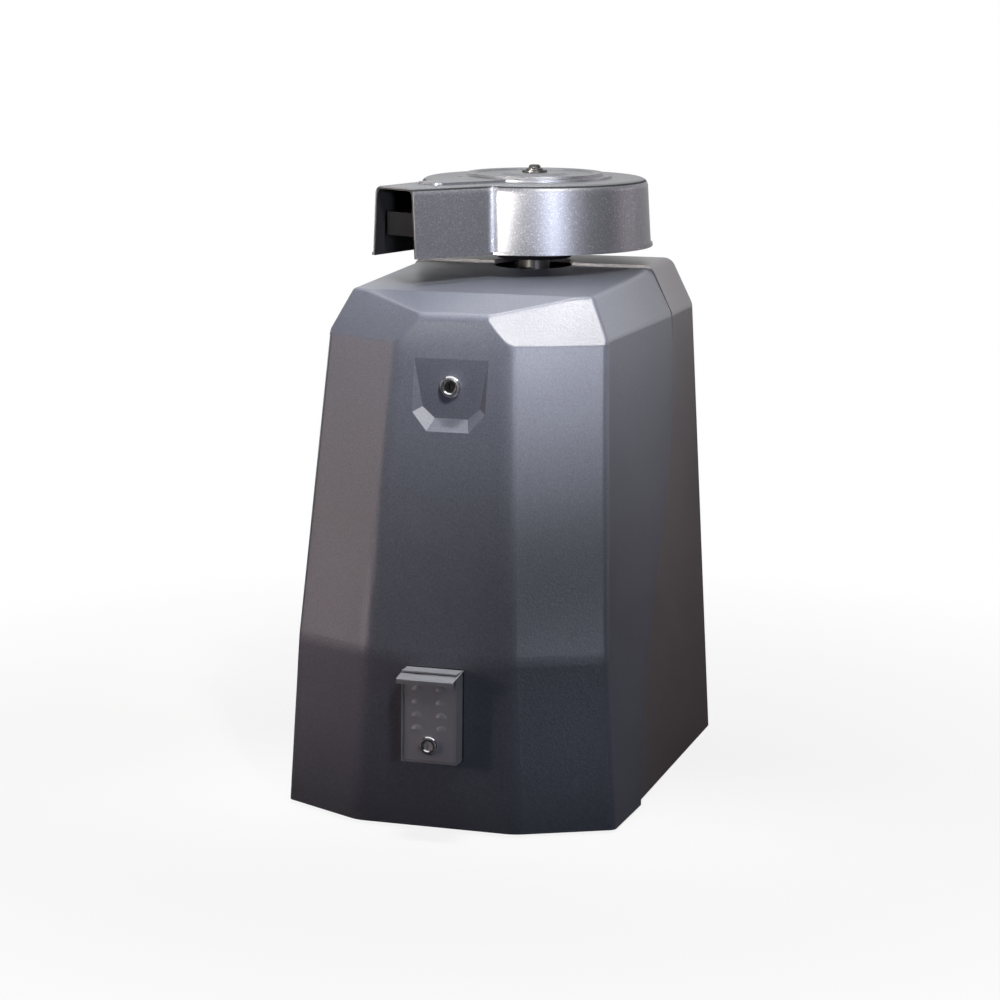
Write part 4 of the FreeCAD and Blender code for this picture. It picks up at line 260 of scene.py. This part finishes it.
def machined_steel():
    """Turned and ground steel: fine tool marks and a thin film of oil."""
    s = Shader("machined_steel")
    marks = s.noise(0.5, 2, stretch=(1, 1, 6))
    film = s.noise(38, 3)
    colour = s.mix(film, (0.44, 0.44, 0.45), (0.58, 0.57, 0.56))
    rough = 0.22 + marks * 0.16 + film * 0.08
    return s.finish(colour, rough, metallic=1.0, normal=s.bump(marks, 0.03, 0.5))


def bright_chrome():
    """Polished chrome with a few fine wipes."""
    s = Shader("bright_chrome")
    wipes = s.noise(1.2, 4, stretch=(1, 1, 0.2))
    colour = s.mix(wipes, (0.80, 0.80, 0.81), (0.92, 0.92, 0.93))
    return s.finish(colour, 0.08 + wipes * 0.10, metallic=0.92, normal=s.bump(wipes, 0.01, 0.3))


def dark_steel_and_shade():
    """Oil-blacked steel with paler, rubbed patches; on the output shaft its darkness is painted shade
    under the arm cover.
    """
    s = Shader("dark_steel_and_shade")
    rub = s.noise(5, 4)
    skin = s.noise(0.8, 3)
    colour = s.mix(rub, (0.032, 0.031, 0.030), (0.075, 0.073, 0.071))
    return s.finish(colour, 0.34 + rub * 0.16, metallic=0.7, normal=s.bump(skin, 0.03, 0.5))


def lock_face():
    """The plug of a lock: nickel with fine scratches."""
    s = Shader("lock_face")
    scratches = s.noise(0.35, 3, stretch=(1, 1, 0.15))
    colour = s.mix(scratches, (0.66, 0.65, 0.63), (0.84, 0.83, 0.81))
    return s.finish(colour, 0.22 + scratches * 0.2, metallic=0.45, normal=s.bump(scratches, 0.015, 0.5))


def gear_bronze():
    """Cut bronze with a film of grease."""
    s = Shader("gear_bronze")
    film = s.noise(12, 4)
    cuts = s.noise(0.6, 2, stretch=(1, 1, 0.25))
    colour = s.mix(film, (0.42, 0.25, 0.09), (0.62, 0.40, 0.16))
    return s.finish(colour, 0.26 + cuts * 0.2, metallic=1.0, normal=s.bump(cuts, 0.04, 0.5))


def cast_paint():
    """Sand-cast iron under grey enamel."""
    s = Shader("cast_paint")
    sand = s.noise(1.4, 5, 0.7)
    pits = s.cells(3.2)
    cloud = s.noise(40, 3)
    colour = s.mix(cloud, (0.060, 0.068, 0.080), (0.095, 0.105, 0.120))
    return s.finish(colour, 0.42 + sand * 0.2, normal=s.bump(sand + pits * 0.4, 0.35, 0.7))


def cast_alloy():
    """Die-cast aluminium, slightly frosted."""
    s = Shader("cast_alloy")
    frost = s.noise(1.0, 4, 0.65)
    cloud = s.noise(24, 3)
    colour = s.mix(cloud, (0.50, 0.51, 0.52), (0.64, 0.64, 0.65))
    return s.finish(colour, 0.34 + frost * 0.2, metallic=0.95, normal=s.bump(frost, 0.08, 0.6))


def black_rubber():
    """Rubber with a bloom of dust."""
    s = Shader("black_rubber")
    bloom = s.noise(9, 4)
    weave = s.noise(0.7, 2)
    colour = s.mix(bloom, (0.010, 0.010, 0.010), (0.032, 0.031, 0.030))
    return s.finish(colour, 0.62 + bloom * 0.2, normal=s.bump(weave, 0.06, 0.6))


def black_plastic():
    """Moulded nylon for switches, cams and terminals."""
    s = Shader("black_plastic")
    grain = s.noise(0.8, 3)
    cloud = s.noise(14, 2)
    colour = s.mix(cloud, (0.014, 0.014, 0.015), (0.030, 0.030, 0.032))
    return s.finish(colour, 0.40 + grain * 0.16, normal=s.bump(grain, 0.05, 0.5))


def circuit_lacquer():
    """A green lacquered board with copper runs under the lacquer."""
    s = Shader("circuit_lacquer")
    upright = s.node("ShaderNodeMapping", {}, {"Vector": s.place, "Rotation": (math.pi / 2, 0, 0)})
    runs = s.node("ShaderNodeTexBrick", {"offset": 0.37, "squash": 1.6}, {
        "Vector": upright.outputs[0], "Scale": 60.0, "Mortar Size": 0.035, "Mortar Smooth": 0.2})
    track = Value(s, runs.outputs["Fac"])
    cloud = s.noise(20, 2)
    lacquer = s.mix(cloud, (0.006, 0.075, 0.022), (0.012, 0.110, 0.036))
    colour = s.mix(track, lacquer, (0.030, 0.180, 0.060))
    return s.finish(colour, 0.22 + cloud * 0.1, coat=0.4, normal=s.bump(track, 0.03, 0.5))


# Each finish with the nodes that wear it.
FINISHES = [
    (pebbled_plastic("front_plastic", (0.113, 0.121, 0.150), (0.131, 0.140, 0.170)), "front_cover"),
    (pebbled_plastic("rear_plastic", (0.136, 0.127, 0.136), (0.156, 0.146, 0.154)), "rear_cover"),
    (hammered_finish(), "arm_cover"),
    # The crank stub and arm hub are near black as painted shade, for the shadow under and within the arm
    # cover.
    (satin_paint("shade_black_paint", (0.007, 0.007, 0.008), rough=0.60, specular=0.08), "crank_stub arm_hub"),
    (satin_paint("station_paint", (0.340, 0.345, 0.370), peel=0.03, rough=0.42),
     "station_box station_panel"),
    (zinc_plate(),
     "base_plate frame_post_left frame_post_right gearbox_shelf top_plate control_arms rear_foot_brackets "
     "rear_top_brackets cover_catch motor_mount switch_bracket motor_bands frame_bolts gearbox_bolts "
     "rear_cover_screws station_screws cover_lock_nut"),
    (satin_paint("control_paint", (0.50, 0.50, 0.48)), "control_box control_lid"),
    (satin_paint("motor_paint", (0.020, 0.021, 0.024), peel=0.08, rough=0.34), "motor_shell"),
    (cast_paint(), "gearbox_case gearbox_lid worm_caps flange_bearing"),
    (machined_steel(),
     "worm_shaft shaft_keys shaft_bearings worm_bearings motor_stator motor_rotor cover_lock_cam "
     "station_lock_cam transformer"),
    # On the output shaft this dark steel is painted shade, standing in for the shadow under the arm cover.
    (dark_steel_and_shade(), "arm_cover_washer arm_cover_bolt output_shaft cover_lock_plug"),
    (bright_chrome(), "cover_lock_barrel station_lock_barrel"),
    (lock_face(), "station_lock_plug"),
    (gear_bronze(), "worm_wheel"),
    (cast_alloy(), "driven_pulley motor_pulley motor_end_bells motor_capacitor"),
    (black_rubber(), "station_gasket shaft_seal v_belt"),
    (black_plastic(), "alarm_sounder limit_cams limit_switches board_parts"),
    (circuit_lacquer(), "circuit_board"),
]
for material, names in FINISHES:
    for name in names.split():
        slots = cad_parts[name].data.materials
        slots.clear()
        slots.append(material)

# Each lamp: direction from the subject, distance, aim, width, height, watts, colour, spread in degrees.
SUBJECT = Vector((0.0, -0.12, 0.46))
LAMPS = {
    "key": ((0.44, -0.51, 0.73), 2.3, (0.08, -0.16, 0.62), 0.42, 0.42, 0.68, (1.0, 0.98, 0.96), 12),
    "arm_glow": ((-0.42, -0.90, 0.10), 2.6, (-0.02, -0.05, 0.74), 0.30, 0.20, 1.05, (1.0, 0.95, 0.88), 8),
    "overhead": ((0.0, -0.02, 1.0), 2.0, (0.0, -0.19, 0.55), 0.80, 0.12, 0.66, (0.97, 0.97, 1.0), 15),
    "right_front_beam": ((0.59, -0.78, 0.20), 2.5, (0.08, -0.2, 0.73),
                         0.50, 0.30, 0.78, (0.82, 0.85, 1.0), 18),
    "right_low": ((0.70, -0.71, 0.05), 2.4, (0.13, -0.22, 0.10), 0.30, 0.20, 0.046, (0.80, 0.85, 1.0), 8),
    "left_level": ((-0.94, -0.33, 0.08), 2.2, (-0.1, -0.1, 0.44), 0.70, 0.90, 0.56, (1.0, 0.80, 0.73), 46),
    "left_low": ((-0.84, -0.54, 0.05), 2.3, (-0.16, -0.16, 0.14), 0.40, 0.20, 0.08, (1.0, 0.78, 0.80), 10),
    "right_rear": ((0.80, 0.55, 0.15), 2.4, (0.15, 0.15, 0.25), 0.60, 0.60, 0.36, (1.0, 0.78, 0.82), 30),
    "back_overhead": ((-0.20, 0.50, 0.84), 2.3, (0.0, 0.15, 0.50), 1.10, 0.90, 1.0, (1.0, 1.0, 1.0), 60),
    "back_fill": ((-0.30, 0.95, -0.06), 2.4, (0.0, 0.20, 0.35), 1.00, 0.50, 0.55, (1.0, 0.98, 0.96), 60),
    "left_rear": ((-0.80, 0.60, -0.04), 2.4, (-0.1, 0.15, 0.30), 0.60, 0.50, 0.35, (1.0, 0.96, 0.95), 50),
    "cross_right": ((1.60, -1.78, -0.17), 2.4, (0.0, -0.86, 0.28),
                    0.15, 0.44, 0.60, (0.92, 0.95, 1.0), 10),
    "cross_left": ((-1.60, -1.78, -0.17), 2.4, (0.0, -0.86, 0.28),
                   0.15, 0.44, 0.60, (1.0, 0.95, 0.95), 10),
}


def softbox(name, direction, distance, aim, width, height, watts, colour, spread):
    """A rectangular lamp that stands off the subject in that direction and points at its aim."""
    lamp = bpy.data.lights.new(name, "AREA")
    lamp.shape = "RECTANGLE"
    lamp.size = width
    lamp.size_y = height
    lamp.energy = watts
    lamp.color = colour
    lamp.spread = math.radians(spread)
    holder = bpy.data.objects.new(name, lamp)
    holder.visible_camera = False
    holder.location = SUBJECT + Vector(direction).normalized() * distance
    holder.rotation_euler = (Vector(aim) - holder.location).to_track_quat("-Z", "Y").to_euler()
    bpy.context.scene.collection.objects.link(holder)


def pale_world():
    """White to the camera and in reflections, and a low even light elsewhere."""
    s = Shader("studio", bpy.data.worlds)
    bpy.context.scene.world = s.owner
    rays = s.node("ShaderNodeLightPath")
    seen = Value(s, rays.outputs["Is Camera Ray"])
    for kind in ("Is Glossy Ray", "Is Transmission Ray"):
        seen = seen.maths("MAXIMUM", seen, Value(s, rays.outputs[kind]))
    ambient = s.node("ShaderNodeBackground", {}, {"Color": (0.95, 0.97, 1.0, 1), "Strength": AMBIENT})
    white = s.node("ShaderNodeBackground", {}, {"Color": (1, 1, 1, 1), "Strength": 1.0})
    surface = s.node("ShaderNodeMixShader", {}, {0: seen, 1: ambient.outputs[0], 2: white.outputs[0]})
    s.node("ShaderNodeOutputWorld", {}, {"Surface": surface.outputs[0]})


def flat_sheet(name, corners, material):
    """A four-cornered sheet in the set."""
    mesh = bpy.data.meshes.new(name)
    mesh.from_pydata(corners, [], [(0, 1, 2, 3)])
    mesh.materials.append(material)
    sheet = bpy.data.objects.new(name, mesh)
    bpy.context.scene.collection.objects.link(sheet)
    return sheet


def level_corners(left, right, front, back, height):
    """The corners of a level rectangle."""
    return [(left, front, height), (right, front, height), (right, back, height), (left, back, height)]


def upright_corners(start, end, top):
    """The corners of an upright rectangle that stands on the floor between two places."""
    return [(*start, 0), (*end, 0), (*end, top), (*start, top)]


def pale_floor():
    """A wide pale floor that keeps a soft shadow."""
    s = Shader("pale_floor")
    cloud = s.noise(400, 2)
    tone = s.mix(cloud, (0.80, 0.80, 0.80), (0.84, 0.84, 0.84))
    paper = s.node("ShaderNodeBsdfDiffuse", {}, {"Color": tone})
    glow = s.node("ShaderNodeEmission", {}, {"Strength": 1.0})
    rays = s.node("ShaderNodeLightPath")
    x, y = s.axes()[:2]
    away = (x ** 2 + y ** 2) ** 0.5
    bright = s.ramp(away / FLOOR_FADE, [FLOOR_NEAR, FLOOR_FAR])
    share = Value(s, rays.outputs["Is Camera Ray"]) * bright
    surface = s.node("ShaderNodeMixShader", {}, {0: share, 1: paper.outputs[0], 2: glow.outputs[0]})
    s.node("ShaderNodeOutputMaterial", {}, {"Surface": surface.outputs[0]})
    corners = level_corners(-FLOOR_REACH, FLOOR_REACH, -FLOOR_REACH, FLOOR_REACH, 0)
    floor = flat_sheet("floor", corners, s.owner)


def dark_card(name, corners):
    """A dark felt flag, unseen itself, which keeps white out of the reflections in the covers."""
    s = Shader(f"{name}_felt")
    nap = s.noise(3, 3)
    felt = s.finish(s.mix(nap, (0.010, 0.010, 0.011), (0.024, 0.024, 0.025)), 0.9, specular=0.1)
    card = flat_sheet(name, corners, felt)
    card.visible_camera = False
    card.visible_shadow = False


def photo_camera():
    """The camera at the photograph's place."""
    lens = bpy.data.cameras.new("photo_camera")
    lens.lens = PHOTO_LENS
    lens.sensor_width = PHOTO_SENSOR
    lens.shift_x, lens.shift_y = PHOTO_SHIFT
    lens.clip_end = FAR_CLIP
    camera = bpy.data.objects.new("photo_camera", lens)
    camera.location = PHOTO_PLACE
    aim = Vector(PHOTO_AIM) - camera.location
    roll = Quaternion((0, 0, 1), PHOTO_ROLL)
    camera.rotation_euler = (aim.to_track_quat("-Z", "Y") @ roll).to_euler()
    bpy.context.scene.collection.objects.link(camera)
    bpy.context.scene.camera = camera


for lamp_name, settings in LAMPS.items():
    softbox(lamp_name, *settings)
pale_world()
pale_floor()
dark_card("floor_flag", level_corners(-FELT_SIDE, FELT_SIDE, FELT_FRONT, FELT_BACK, FELT_LIFT))
dark_card("front_flag", upright_corners((FLAG_FRONT, FLAG_FRONT), (-FLAG_FRONT, FLAG_FRONT), FLAG_TOP))
dark_card("left_flag", upright_corners((-FLAG_SIDE, FLAG_FRONT), (-FLAG_SIDE, FLAG_BACK), FLAG_TOP))
dark_card("right_flag", upright_corners((FLAG_SIDE, FLAG_FRONT), (FLAG_SIDE, FLAG_BACK), FLAG_TOP))
photo_camera()
bpy.context.scene.view_settings.view_transform = "Standard"
